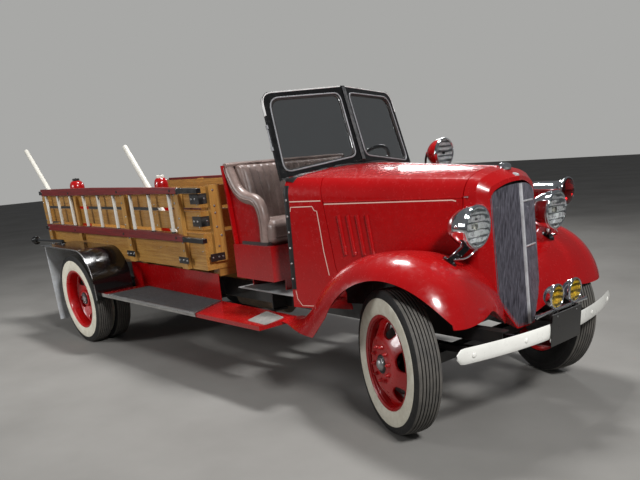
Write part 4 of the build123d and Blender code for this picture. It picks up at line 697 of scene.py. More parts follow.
def windshield_half(hand, side_name):
    bm = bmesh.new()
    facing = pane_place(hand, 0.3, 0.2, 0.1) - pane_place(hand, 0.3, 0.2)
    outer = rounded(pane_corners(0), (0.02, 0.02, 0.075, 0.02))
    top_corner = [Vector((s - 0.001, u - 0.0042)) for s, u in [outer[13].lerp(outer[14], 0.86)] + outer[14:22]]
    beads = rounded(pane_corners(0.041), (0.045, 0.06, 0.075, 0.05))
    inner = rounded(pane_corners(0.05), (0.045, 0.06, 0.075, 0.05))
    # The top corner trim (look 2) takes the painted highlight colour.
    for line, lift, section, look, closed in ((beads, 0.0145, round_section(4.8, 8), 0, True),
                                              (beads, -0.0145, round_section(4.8, 8), 0, True),
                                              (top_corner, 0.002, round_section(7.5, 10, 1.9), 2, False),
                                              (inner, 0.006, round_section(6, 8), 1, True)):
        sweep(bm, [pane_place(hand, s, u, lift) for s, u in line], section, facing, look, closed)
    clips = (0.2, 0.335)
    for u in clips:
        ends = [pane_place(hand, pane_side(u) + 0.004, u + step) for step in (-0.012, 0.012)]
        bar(bm, *ends, 10, 14)
    bar(bm, *[pane_place(hand, pane_side(u) + 0.006, u) for u in clips], 4.5, 12)
    piece(f"windshield_bead_{side_name}", bm, [BEAD, FRAME, TRIM_PAINTED_HIGHLIGHT])


def windshield_centre():
    bm = bmesh.new()
    strip = [PEAK + (FOOT - PEAK) * t + Vector((0.017, 0, 0.004)) for t in (0.02, 0.98)]
    sweep(bm, strip, [(-13, 0), (13, 0), (10, 6), (-10, 6)], (1, 0, 0.35))
    piece("windshield_centre_strip", bm, [STEEL])


# Cowl: edging strip with snap studs, pinstripes, and the rubber skirt under the windshield
COWL = surface("cowl")
PANEL_LINE = [(1.3, 1.193), (1.306, 1.22), (1.464, 1.222), (1.478, 1.198), (1.496, 1.193), (1.512, 1.07),
              (1.526, 0.948), (1.553, 0.8)]
PANEL_FOOT = [(1.292, 0.69), (1.3, 0.636), (1.334, 0.592), (1.44, 0.596)]
EDGING = ((1.2665, 0.0002), (1.2675, 0.004), (1.2725, 0.0055), (1.294, 0.0055), (1.3, 0.0004))
EDGING_LOW, EDGING_HIGH, EDGING_STEPS = 0.7, 1.352, 44
STUD_X, STUD_LOW, STUD_PITCH, STUD_COUNT = 1.281, 0.768, 0.099, 6
SKIRT_STEPS, SKIRT_REACH_MIDDLE, SKIRT_REACH_SIDE, SKIRT_REAR_X = 60, 0.022, 0.080, 1.268
SKIRT_LIP = ((0.006, 0.016), (0.013, 0.013))
SKIRT_FACE = ((0.3, 0.0095), (0.45, 0.0085), (0.6, 0.0075), (0.75, 0.0065), (0.9, 0.0055), (1, 0.004),
              (1.04, 0.0002))


def flank(tree, x, z, sign, lift):
    """A point on the body's side at a station and a height."""
    return seat_on(tree, (x, sign * 1.2, z), (0, -sign, 0), lift)


def cowl_skin(point, lift):
    """The nearest place on the cowl's outside, lifted square off it."""
    place = COWL.find_nearest(point)[0]
    return place + (point - place).normalized() * lift


def stripe(bm, tree, line, sign, width=0.0055):
    """A painted line on the body's side, along (x, z) points."""
    points = []
    for (x0, z0), (x1, z1) in zip(line, line[1:]):
        count = max(1, int(math.hypot(x1 - x0, z1 - z0) / 0.03))
        points += [(x0 + (x1 - x0) * k / count, z0 + (z1 - z0) * k / count) for k in range(count)]
    points.append(line[-1])
    rows = []
    for index, (x, z) in enumerate(points):
        before, after = points[max(index - 1, 0)], points[min(index + 1, len(points) - 1)]
        run = Vector((after[0] - before[0], after[1] - before[1])).normalized()
        turn = Vector((-run.y, run.x)) * width / 2
        row = [flank(tree, x + turn.x * k, z + turn.y * k, sign, 0.0009) for k in (-1, 0, 1)]
        rows.append([bm.verts.new(p) for p in row])
    skin(bm, rows)


def cowl_side(sign, side_name):
    bm = bmesh.new()
    heights = [EDGING_LOW + k * (EDGING_HIGH - EDGING_LOW) / EDGING_STEPS for k in range(EDGING_STEPS + 1)]
    rows = [[cowl_skin(flank(COWL, x, z, sign, 0.012), lift) for x, lift in EDGING] for z in heights]
    skin(bm, [[bm.verts.new(p) for p in row] for row in rows])
    for k in range(STUD_COUNT):
        spot = flank(COWL, STUD_X, STUD_LOW + k * STUD_PITCH, sign, 0.005)
        lathe(bm, [(0, 8.5), (2, 8.5), (4.5, 6.5), (6, 3), (6, 0)], spot, (0, sign, 0), 14, 1)
    piece(f"cowl_edging_{side_name}", bm, [HOSE, STEEL], sharp=50)
    bm = bmesh.new()
    stripe(bm, COWL, [(1.3, 1.2535), (1.528, 1.2535)], sign, 0.006)
    stripe(bm, COWL, PANEL_LINE, sign)
    stripe(bm, COWL, PANEL_FOOT, sign)
    piece(f"cowl_pinstripe_{side_name}", bm, [STRIPE])
    bm = bmesh.new()
    hood_side = f"hood_side_{side_name}"
    stripe(bm, surface(hood_side), [(1.55, 1.233), (2.33, 1.233), (2.352, 1.227)], sign, 0.006)
    piece(f"hood_pinstripe_{side_name}", bm, [STRIPE], body=hood_side)


def windshield_skirt():
    """Rubber between the windshield's foot and the cowl."""
    bm = bmesh.new()
    for hand in (-1, 1):
        rows = []
        for k in range(SKIRT_STEPS + 1):
            share = k / SKIRT_STEPS
            low = FOOT.lerp(SILL_END, share)
            reach = SKIRT_REACH_MIDDLE + (SKIRT_REACH_SIDE - SKIRT_REACH_MIDDLE) * share
            row = [Vector((low.x + out, low.y * hand, low.z + rise)) for out, rise in SKIRT_LIP]
            for part, lift in SKIRT_FACE:
                x = max(low.x + reach * part, SKIRT_REAR_X)
                row.append(cowl_skin(Vector((x, low.y * hand, low.z + 0.01)), lift))
            rows.append([bm.verts.new(p) for p in row])
        skin(bm, rows)
    piece("windshield_skirt", bm, [HOSE], sharp=50)


# Seat: two leather cushions with sewn channels, a top roll, wings and red side panels
PLEAT = 0.0575
WING = [(0.556, 1.5), (0.566, 1.462), (0.598, 1.4), (0.648, 1.33), (0.706, 1.288), (0.77, 1.268),
        (0.83, 1.26), (0.878, 1.235), (0.908, 1.185), (0.922, 1.12), (0.925, 1.06), (0.922, 1.01),
        (0.92, 0.968)]
SIDE_PANEL = [(0.562, 1.425), (0.59, 1.385), (0.64, 1.318), (0.7, 1.275), (0.8, 1.25), (0.85, 1.23),
              (0.885, 1.18), (0.895, 1.1), (0.895, 0.9612), (0.612, 0.9612)]


def cushion_rings(corners_at, radii, steps, y_half, depth, near):
    """Rings across a cushion, each a rounded outline in side view, smaller at the two ends."""
    cuts = [(y_half - depth, 0), (y_half - 0.006, near), (y_half, depth)]
    cuts = [(-y, shrink) for y, shrink in reversed(cuts)] + cuts
    return [[(p.x, y, p.y) for p in rounded(corners_at(shrink), radii, steps)] for y, shrink in cuts]


def cushion_mesh(name, rings):
    """A closed mesh from rings of points."""
    bm = bmesh.new()
    tube(bm, [[bm.verts.new(p) for p in ring] for ring in rings])
    bmesh.ops.recalc_face_normals(bm, faces=bm.faces)
    mesh = bpy.data.meshes.new(name)
    bm.to_mesh(mesh)
    bm.free()
    made = bpy.data.objects.new(name, mesh)
    scene.collection.objects.link(made)
    return made


def bake(made):
    """Apply the object's modifiers."""
    graph = bpy.context.evaluated_depsgraph_get()
    graph.update()
    mesh = bpy.data.meshes.new_from_object(made.evaluated_get(graph), depsgraph=graph)
    made.modifiers.clear()
    made.data = mesh
    mesh.name = made.name


def puff(made, voxel=0.01, pressure=4.0, cap=0.012, steps=20):
    """Remesh a cushion, let cloth pressure swell it, and hold each point within a cap."""
    remesh = made.modifiers.new("skin", "REMESH")
    remesh.mode, remesh.voxel_size = "VOXEL", voxel
    bake(made)
    flat = [v.co.copy() for v in made.data.vertices]
    cloth = made.modifiers.new("stuffing", "CLOTH")
    cloth.settings.use_pressure = True
    cloth.settings.uniform_pressure_force = pressure
    cloth.settings.effector_weights.gravity = 0
    cloth.settings.quality = 4
    cloth.point_cache.frame_start, cloth.point_cache.frame_end = 1, steps
    for step in range(1, steps + 1):
        scene.frame_set(step)
    graph = bpy.context.evaluated_depsgraph_get()
    grown = made.evaluated_get(graph).to_mesh()
    moved = [v.co.copy() for v in grown.vertices]
    made.evaluated_get(graph).to_mesh_clear()
    made.modifiers.clear()
    scene.frame_set(1)
    for vertex, old, new in zip(made.data.vertices, flat, moved):
        step = new - old
        vertex.co = old + (step * (cap / step.length) if step.length > cap else step)


def refine(made):
    """Divide a cushion's mesh once and shade it smooth."""
    finer = made.modifiers.new("finer", "SUBSURF")
    finer.levels = finer.render_levels = 1
    bake(made)
    for polygon in made.data.polygons:
        polygon.use_smooth = True


def within(value, low, high):
    return min(max(value, low), high)


def soft_step(value, low, high):
    t = within((value - low) / (high - low), 0, 1)
    return t * t * (3 - 2 * t)


def bell(offset, width):
    """A smooth bump, 1 at no offset."""
    return math.exp(-(offset / width) ** 2)


def cushion_corners(s):
    return [(0.7 + s, 0.966 + s), (1.04 - s, 0.966 + s), (1.04 - s, 1.112 - s), (0.7 + s, 1.112 - s)]


def back_corners(s):
    return [(0.64 + s, 0.968 + s), (0.716 - s, 0.968 + s), (0.742 - s, 1.13), (0.716 - s, 1.3),
            (0.652 - s, 1.5 - s), (0.578 + s, 1.496 - s)]


def seat_cushion():
    rings = cushion_rings(cushion_corners, [0.045] * 4, 6, 0.558, 0.022, 0.01)
    base = cushion_mesh("seat_cushion_leather", rings)
    puff(base)
    refine(base)
    for vertex in base.data.vertices:
        x, y, z = vertex.co
        top = soft_step(z, 1.04, 1.1) * soft_step(x, 0.74, 0.78) * (1 - soft_step(x, 0.935, 0.955))
        away = abs((y / PLEAT + 0.5) % 1 - 0.5) * PLEAT
        inside = 1 - soft_step(abs(y), 0.5, 0.515)
        swell = top * inside * (0.004 * (1 - bell(away, 0.016)) - 0.008 * bell(away, 0.0035))
        seam = bell(x - 0.962, 0.004) * soft_step(z, 1.04, 1.1) * 0.007
        lower = bell(z - 1.012, 0.0045) * soft_step(x, 0.99, 1.03) * 0.007
        vertex.co = (within(x - lower, 0.69, 1.049), within(y, -0.5695, 0.5695),
                     within(z + swell - seam, 0.9605, 1.1275))
    base.data.materials.append(LEATHER)
    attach(base, "chassis")
    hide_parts("seat_cushion")


def seat_back():
    """The back cushion leans from the box to its rolled top."""
    radii = (0.02, 0.02, 0.05, 0.05, 0.032, 0.025)
    back = cushion_mesh("seat_back_leather", cushion_rings(back_corners, radii, 5, 0.52, 0.02, 0.009))
    puff(back)
    refine(back)
    for vertex in back.data.vertices:
        x, y, z = vertex.co
        face_x = through([(0.96, 0.69), (1.13, 0.742), (1.3, 0.716), (1.5, 0.652)], z)
        front = soft_step(x, face_x - 0.045, face_x - 0.015)
        crown = soft_step(z, 1.44, 1.49)
        away = abs((y / PLEAT) % 1 - 0.5) * PLEAT
        inside = 1 - soft_step(abs(y), 0.498, 0.512)
        groove = 0.009 * bell(away, 0.0032) - 0.003 * (1 - bell(away, 0.015))
        shell_x = 0.624 - (z - 0.96) * 0.101
        vertex.co.x = within(x - groove * front * inside * (1 - crown), shell_x, 0.86)
        vertex.co.z = within(z - groove * 0.7 * crown * inside, 0.9605, 1.511)
    back.data.materials.append(LEATHER)
    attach(back, "chassis")
    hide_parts("seat_back")


def seat_roll_and_shade_strip():
    bm = bmesh.new()
    steps = 24
    path = [(0.571, -0.57 + 1.14 * k / steps, 1.4935) for k in range(steps + 1)]
    sizes = [0.8 + 0.2 * math.sin(min(1, min(k, steps - k) / 2) * math.pi / 2) for k in range(steps + 1)]
    sweep(bm, path, round_section(30, 20, 18.5 / 30), UP, scales=sizes)
    piece("seat_top_roll", bm, [LEATHER], sharp=60)
    # A black strip under the cushion: painted shade for the dark gap between cushion and box.
    bm = bmesh.new()
    block(bm, (0.69, -0.575, 0.9602), (0.985, 0.575, 0.98))
    piece("seat_cushion_shade_strip", bm, [FRAME])


def seat_end(sign, side_name):
    bm = bmesh.new()
    line = curve([(x, sign * 0.535, z) for x, z in WING], 5)
    shape = [(40 * math.copysign(abs(math.cos(t)) ** 0.75, math.cos(t)),
              36 * math.copysign(abs(math.sin(t)) ** 0.75, math.sin(t))) for t in turns(28)]
    sizes = [0.8 + 0.2 * math.sin(min(1, k / 8) * math.pi / 2) for k in range(len(line))]
    sweep(bm, line, shape, (0, sign, 0), scales=sizes)
    wing = piece(f"seat_wing_{side_name}", bm, [LEATHER], sharp=60)
    bm = bmesh.new()
    sweep(bm, [(p.x, sign * 0.5755, p.z) for p in line[3:-4]], round_section(3.2, 8), (0, sign, 0))
    piece(f"seat_piping_{side_name}", bm, [LEATHER], sharp=60)
    bm = bmesh.new()
    prism(bm, [(x, sign * 0.548, z) for x, z in SIDE_PANEL], (0, sign * 0.012, 0))
    piece(f"seat_side_panel_{side_name}", bm, [RED], edge=0.002)


# Grille: close-set upright bars in a V, a bright centre strip and two short crossbars
GRILLE_FOOT, GRILLE_CREST = Vector((2.639, 0, 0.509)), Vector((2.544, 0, 1.328))
GRILLE_HEIGHT = (GRILLE_CREST - GRILLE_FOOT).length
GRILLE_RISE = (GRILLE_CREST - GRILLE_FOOT).normalized()
GRILLE_OUT = Vector((-0.055, -0.228, 0))
GRILLE_OUT = (GRILLE_OUT - GRILLE_RISE * GRILLE_OUT.dot(GRILLE_RISE)).normalized()
GRILLE_NORMAL = GRILLE_RISE.cross(GRILLE_OUT)
GRILLE_INSET, GRILLE_TOP_INSET = 0.008, 0.034
GRILLE_PITCH, GRILLE_BARS = 0.0092, 23
GRILLE_BAR = ((-0.003, -0.007), (-0.0028, 0.0005), (-0.0015, 0.003), (0.0015, 0.003), (0.0028, 0.0005),
              (0.003, -0.007))
RADIATOR_SHELL = surface("radiator_shell")


def grille_place(sign, s, height, lift):
    """A point on one half of the V: s outward from the middle, height up it, lift forward of it."""
    spot = GRILLE_FOOT + GRILLE_OUT * s + GRILLE_RISE * height + GRILLE_NORMAL * lift
    return Vector((spot.x, -sign * spot.y, spot.z))


def grille_ends(s):
    """Where a bar at this distance from the middle starts and stops."""
    width, foot, knee = 0.228 - GRILLE_INSET, 0.093 - GRILLE_INSET * 0.6, 0.187
    top = GRILLE_HEIGHT - GRILLE_TOP_INSET
    low = GRILLE_INSET if s <= foot else GRILLE_INSET + (s - foot) / (width - foot) * (knee - GRILLE_INSET)
    crest = [(0, top), (width / 2, top - 0.008), (width - 0.034, top - 0.03), (width - 0.007, top - 0.052),
             (width, top - 0.08)]
    return low, through(crest, s)


def grille():
    bm = bmesh.new()
    for sign in (-1, 1):
        for index in range(GRILLE_BARS):
            s = 0.0125 + index * GRILLE_PITCH
            low, high = grille_ends(s)
            sway = random.uniform(-0.0005, 0.0005)
            skin(bm, [[bm.verts.new(grille_place(sign, s + a + sway, low + (high - low) * share, b))
                       for a, b in GRILLE_BAR] for share in (0, 0.33, 0.66, 1)])
        for height in (0.215, 0.37, 0.52, 0.65):
            line = [grille_place(sign, k, height, -0.009) for k in (0.002, 0.226)]
            sweep(bm, line, oblong(4, 2), GRILLE_NORMAL, 1)
        # A dark sheet behind the bars: painted shade inside the shell.
        shade = [bm.verts.new(grille_place(sign, *corner, -0.03)) for corner in
                 ((0, 0.02), (0.085, 0.02), (0.214, 0.19), (0.214, 0.735), (0.18, 0.785), (0, 0.805))]
        bm.faces.new(shade).material_index = 1
    piece("grille_dressed", bm, [BARS, FRAME], ["grille"], 30)


def grille_brightwork():
    """The centre strip, the two crossbars and a cap on the shell's nose, in a light grey that is a painted
    reflection of chrome.
    """
    bm = bmesh.new()
    step = (GRILLE_HEIGHT - GRILLE_TOP_INSET - 0.016) / 8
    spine = [grille_place(-1, 0, GRILLE_INSET + 0.004 + k * step, 0.004) for k in range(9)]
    sweep(bm, spine, [(-7.5, -10), (7.5, -10), (7.5, 3), (4, 8), (-4, 8), (-7.5, 3)], (1, 0, 0.1))
    for height in (0.69, 0.445):
        rail = [grille_place(1, s, height, 0.006) for s in (0.008, 0.17)]
        sweep(bm, rail, [(-5.5, -3), (5.5, -3), (5.5, 2), (0, 4.5), (-5.5, 2)], FORWARD)
    lathe(bm, [(-3, 19), (1, 19), (4, 17), (5, 12), (4.2, 11.5), (4.2, 0)],
          seat_on(RADIATOR_SHELL, (2.522, 0, 1.6), DOWN, -0.001), (0.35, 0, 0.94), 32)
    piece("grille_brightwork", bm, [BRIGHTWORK_PAINTED_REFLECTION], sharp=35)


def lens(bm, centre, radius, rings, count, bulge, sunk, ripple):
    """A domed glass whose face is rippled by ripple(y, z) and smooth at its edge."""
    rows = []
    for ring in range(rings + 1):
        share = ring / rings
        line = []
        for a in turns(count if ring else 1):
            y, z = radius * share * math.cos(a), radius * share * math.sin(a)
            out = bulge * (1 - share ** 2) - sunk + ripple(y, z) * (1 - share ** 6)
            line.append(bm.verts.new(centre + Vector((out, y, z))))
        rows.append(line)
    for a, b in zip(rows, rows[1:]):
        join(bm, a, b, count, 1)


# Headlamps: egg-shaped buckets, bezels and ribbed lenses over reflectors, on black brackets with bright stays
LAMP_X, LAMP_Y, LAMP_Z, LAMP_R = 2.558, 0.391, 1.107, 113
FENDERS = {sign: surface(f"front_fender_{side}") for sign, side in SIDES}


def headlamp_ripple(y, z):
    flute = 0.0013 * abs(math.sin(y / 0.0075)) if abs(z) < 0.062 else 0
    band = 0.0016 * math.sin(z / 0.0062) if -0.07 < z < 0.085 else 0
    return flute + band


def headlamps():
    bm = bmesh.new()
    r = LAMP_R
    for sign in (-1, 1):
        centre = Vector((LAMP_X, sign * LAMP_Y, LAMP_Z))
        bucket = [(-18 - 172 * k / 22, (r - 4) * max(0, 1 - (k / 22) ** 2) ** 0.65) for k in range(23)]
        lathe(bm, bucket, centre, FORWARD, 64)
        bezel = [(-20, r - 5), (-20, r - 1), (-16.5, r), (-12, r), (-10.5, r - 1.5), (-8, r - 0.8),
                 (-2, r - 1.6), (2.5, r - 4.5), (4.5, r - 8.5), (4, r - 11.5), (0, r - 12.5), (-6, r - 12.5)]
        lathe(bm, bezel, centre, FORWARD, 72)
        lathe(bm, dome(-6, -85, 100, 14), centre, FORWARD, 56, 2)
        lathe(bm, [(-60, 0), (-60, 8), (-46, 12), (-36, 15), (-28, 12), (-24, 0)], centre, FORWARD, 20, 3)
        lens(bm, centre, 0.1015, 22, 72, 0.013, 0.001, headlamp_ripple)
        # Side clamp and lower screw
        lathe(bm, [(0, 9), (4, 9.5), (10, 9), (14, 5), (15, 0)], centre + Vector((-0.06, sign * 0.104, 0.014)),
              (0, sign, 0.1), 16)
        lathe(bm, [(0, 6), (6, 6), (8, 4), (8, 0)], centre + Vector((-0.01, 0, (1 - r) / 1000)), DOWN, 12)
    piece("headlamps_dressed", bm, [CHROME, LENS_RIBBED, REFLECTOR, BULB], ["headlamps"], 40)


def headlamp_brackets():
    bm = bmesh.new()
    for sign in (-1, 1):
        fender = FENDERS[sign]
        foot = seat_on(fender, (2.452, sign * 0.492, 1.3), DOWN)
        top = Vector((2.505, sign * 0.398, 1.012))
        post = [top + Vector((0.012, sign * -0.004, 0.012)), top.lerp(foot, 0.35) + Vector((0, 0, -0.006)),
                top.lerp(foot, 0.75) + Vector((0, 0, 0.002)), foot + Vector((0, 0, 0.006))]
        sweep(bm, curve(post, 5), oblong(15.2, 7.2), (0, -sign, 0.4), 1)
        pad = [seat_on(fender, (foot.x + 0.04 * math.cos(a), foot.y + 0.024 * math.sin(a), 1.3), DOWN, 0.0002)
               for a in turns(20)]
        prism(bm, pad, (0, 0, 0.008), 1)
        pad_bolts = [seat_on(fender, (foot.x + dx, foot.y, 1.3), DOWN, 0.008) for dx in (-0.026, 0.026)]
        bolts(bm, pad_bolts, UP, 6, 6, 0, 6)
        lathe(bm, [(0, 22), (10, 22), (16, 16), (16, 0)], top + Vector((0.008, 0, 0.014)),
              (0, sign * 0.45, -1), 20, 1)
        near = [(2.478, sign * 0.402, 1.022), (2.462, sign * 0.432, 0.996), (2.448, sign * 0.468, 0.966),
                (foot.x - 0.022, foot.y, foot.z + 0.006)]
        sweep(bm, curve(near, 4), round_section(5), (1, 0, 0.2))
        far = [(2.55, sign * 0.398, 0.998), (2.545, sign * 0.428, 0.975), (2.522, sign * 0.46, 0.955),
               (foot.x + 0.026, foot.y, foot.z + 0.012)]
        sweep(bm, curve(far, 5), round_section(5.5), (1, 0, 0.2))
    piece("headlamp_brackets", bm, [CHROME, BLACK], sharp=40)


# Siren on the left fender: a flared chrome body, ringed, with a red lens
SIREN_AT = Vector((2.509, 0.6, 1.196))
SIREN_BODY = [(-249, 0), (-249, 20), (-246, 36), (-240, 46), (-236, 52), (-232, 58), (-222, 59.5),
              (-205, 60), (-203, 57), (-199, 57), (-197, 60), (-160, 60), (-158, 57.2), (-154, 57.2),
              (-152, 60), (-110, 60), (-92, 60.2), (-70, 61.8), (-48, 65.5), (-30, 72), (-18, 79),
              (-14, 82.5), (-10, 84), (-4, 83.5), (0, 80.5), (0.5, 77.5), (-3, 76.5)]


def siren():
    bm = bmesh.new()
    lathe(bm, SIREN_BODY, SIREN_AT, FORWARD, 64)
    lathe(bm, [(-3, 77)] + dome(-1, 14, 76.5, 10), SIREN_AT, FORWARD, 56, 1)
    lathe(bm, [(-32, 0), (-30, 30), (-10, 70)], SIREN_AT, FORWARD, 32)
    foot = seat_on(FENDERS[1], (2.33, 0.6, 1.4), DOWN)
    post = (1.15 - foot.z) * 1000
    lathe(bm, [(0, 34), (4, 34), (9, 26), (14, 20), (post, 19)], foot, UP, 28)
    lathe(bm, [(0, 28), (12, 28), (16, 24), (30, 22), (30, 0)], (2.33, 0.6, 1.118), UP, 28)
    for a in turns(6):
        out = Vector((0, math.cos(a), math.sin(a)))
        lathe(bm, [(0, 4), (3, 4), (4, 0)], SIREN_AT + Vector((-0.18, 0, 0)) + out * 0.0595, out, 10)
    piece("siren_dressed", bm, [CHROME, RED_LENS], ["siren"], 35)


# Spotlight at the cowl's left: red housing, chrome bezel, clear lens and a handle
SPOT_AT = Vector((1.47, 0.745, 1.462))


def spotlight():
    bm = bmesh.new()
    lathe(bm, [(-16, 98.5), (-40, 97.5), (-70, 92), (-100, 77), (-122, 58), (-136, 36), (-142, 25), (-146, 19),
               (-160, 17.5), (-168, 14), (-170, 0)], SPOT_AT, FORWARD, 56, 1)
    lathe(bm, [(-18, 98), (-18, 101.5), (-12, 102), (-4, 101), (2, 98.5), (3.5, 94), (1, 91), (-4, 90.5)],
          SPOT_AT, FORWARD, 60)
    lathe(bm, [(-4, 91)] + dome(-2, 6, 90.5, 8), SPOT_AT, FORWARD, 48, 2)
    lathe(bm, dome(-6, -70, 89, 10), SPOT_AT, FORWARD, 48, 3)
    bar(bm, SPOT_AT + Vector((-0.04, 0, 0)), SPOT_AT + Vector((-0.018, 0, 0)), 11, 16, 4)
    arm = [(0.745, 1.395), (0.745, 1.33), (0.728, 1.306), (0.69, 1.3), (0.6, 1.3), (0.575, 1.3)]
    sweep(bm, curve([(1.4, y, z) for y, z in arm], 5), round_section(10.5, 14), FORWARD)
    lathe(bm, [(-18, 17), (-10, 20), (10, 20), (18, 17)], (1.4, 0.745, 1.375), UP, 24)
    lathe(bm, [(0, 26), (6, 26), (10, 18), (20, 16)], seat_on(COWL, (1.4, 0.9, 1.3), (0, -1, 0)), LEFT, 24)
    handle = [(1.302, 1.462), (1.298, 1.452), (1.29, 1.425), (1.288, 1.392)]
    sweep(bm, curve([(x, 0.745, z) for x, z in handle], 4), round_section(8.5, 12), LEFT, 4)
    piece("spotlight_dressed", bm, [CHROME, RED, LENS_RIBBED, REFLECTOR, BLACK], ["spotlight"], 35)


def fog_lamps():
    """Chrome shells and bezels with amber lenses, on a bright bar."""
    bm = bmesh.new()
    for y in (-0.086, 0.104):
        spot = Vector((2.85, y, 0.716))
        lathe(bm, [(-12, 65), (-30, 61), (-50, 52), (-64, 38), (-72, 22), (-76, 0)], spot, FORWARD, 48)
        lathe(bm, [(-13, 65), (-13, 67.5), (-8, 68), (-3, 67.2), (1, 64.5), (1.5, 61), (-1, 59), (-5, 58.8)],
              spot, FORWARD, 52)
        lens(bm, spot, 0.059, 12, 48, 0.007, 0.002, lambda y, z: 0.0012 * math.sin(y / 0.003))
        lathe(bm, dome(-5, -45, 58, 8), spot, FORWARD, 40, 2)
        lathe(bm, [(0, 16), (6, 16), (10, 10), (22, 9)], (2.835, y, 0.65), UP, 20)
        lathe(bm, [(0, 9), (12, 9), (12, 0)], (2.835, y, 0.632), DOWN, 6)
    ends = [(2.839, y, 0.642) for y in (-0.27, 0.24)]
    bar(bm, *ends, 9.5, 20)
    for end in ends:
        lathe(bm, [(-10, 9.5), (-6, 12), (6, 12), (10, 9.5)], end, LEFT, 20)
    for y in (-0.12, 0.12):
        block(bm, (2.834, y - 0.009, 0.578), (2.845, y + 0.009, 0.634), 3)
    piece("fog_lamps_dressed", bm, [CHROME, AMBER, REFLECTOR, FRAME], ["fog_lamps"], 35)


# Bumper: a crowned cream bar with rounded tips and two buttons a side
BUMPER_HALF, BUMPER_BOW, BUMPER_FRONT, BUMPER_Z = 0.795, 0.13, 2.858, 0.5355
BUMPER_R = (BUMPER_HALF ** 2 + BUMPER_BOW ** 2) / (2 * BUMPER_BOW)


def bumper():
    bm = bmesh.new()
    middle = Vector((BUMPER_FRONT - BUMPER_R, 0, BUMPER_Z))
    rows, steps = [], 72
    for k in range(steps + 1):
        y = -BUMPER_HALF + 2 * BUMPER_HALF * k / steps
        a = math.asin(y / BUMPER_R)
        outward = Vector((math.cos(a), math.sin(a), 0))
        tip = min(1, (BUMPER_HALF - abs(y)) / 0.044)
        half = 0.0425 * (0.3 + 0.7 * math.sqrt(max(0, 1 - (1 - tip) ** 2)))
        ring = []
        for back, crown, tall, way in ((0, 0.0075, half, 1), (0.0055, 0.0065, half - 0.003, -1)):
            for v in (way * t / 6 for t in range(-6, 7)):
                out = BUMPER_R - back - crown * v * v * (0.5 + 0.5 * v * v)
                ring.append(bm.verts.new(middle + outward * out + Vector((0, 0, tall * v))))
        rows.append(ring)
    tube(bm, rows)
    for y in (-0.7, -0.351, 0.351, 0.7):
        a = math.asin(y / BUMPER_R)
        spot = Vector((BUMPER_FRONT - BUMPER_R + (BUMPER_R - 0.001) * math.cos(a), y, BUMPER_Z))
        lathe(bm, [(-1, 15), (2, 14.5), (4.5, 11), (6, 6), (6.2, 0)], spot, (math.cos(a), math.sin(a), 0), 28)
    piece("bumper_dressed", bm, [CREAM], ["bumper"], 50)


def front_plate():
    """A blank dark plate with a bright top edge."""
    bm = bmesh.new()
    block(bm, (2.861, -0.156, 0.452), (2.8645, 0.156, 0.628))
    sweep(bm, [(2.862, -0.157, 0.629), (2.862, 0.157, 0.629)], round_section(2.8, 8), FORWARD, 1)
    for y in (-0.1, 0.1):
        bolts(bm, [(2.864, y, 0.612)], FORWARD, 5, 1.2, 1, 12)
        block(bm, (2.8503, y - 0.008, 0.612), (2.861, y + 0.008, 0.645))
    piece("front_plate_dressed", bm, [BLACK, STEEL], ["front_plate"], edge=0.0012)


# Running boards: dark ribbed mat with bright edging behind, bare red ahead, ribbed step plates beside the cab
BOARD_REAR_X, BOARD_FRONT_X, MAT_FRONT_X = -0.83, 0.536, 0.356
BOARD_REAR_Y, BOARD_FRONT_Y, BOARD_TOP = 1.000, 0.9525, 0.5152
MAT_IN, MAT_OUT, MAT_RIBS = 0.606, 0.985, 46
MAT_RIB = [(0, 0.0022), (0.3, 0.0022), (0.4, 0.0046), (0.9, 0.0046), (1.0, 0.0022)]
STEP_CORNERS = [(1.07, 0.87), (1.28, 0.876), (1.23, 0.68), (0.97, 0.63)]


def board_edge(x):
    """The board's outer line."""
    return BOARD_REAR_Y + (BOARD_FRONT_Y - BOARD_REAR_Y) * (x - BOARD_REAR_X) / (BOARD_FRONT_X - BOARD_REAR_X)


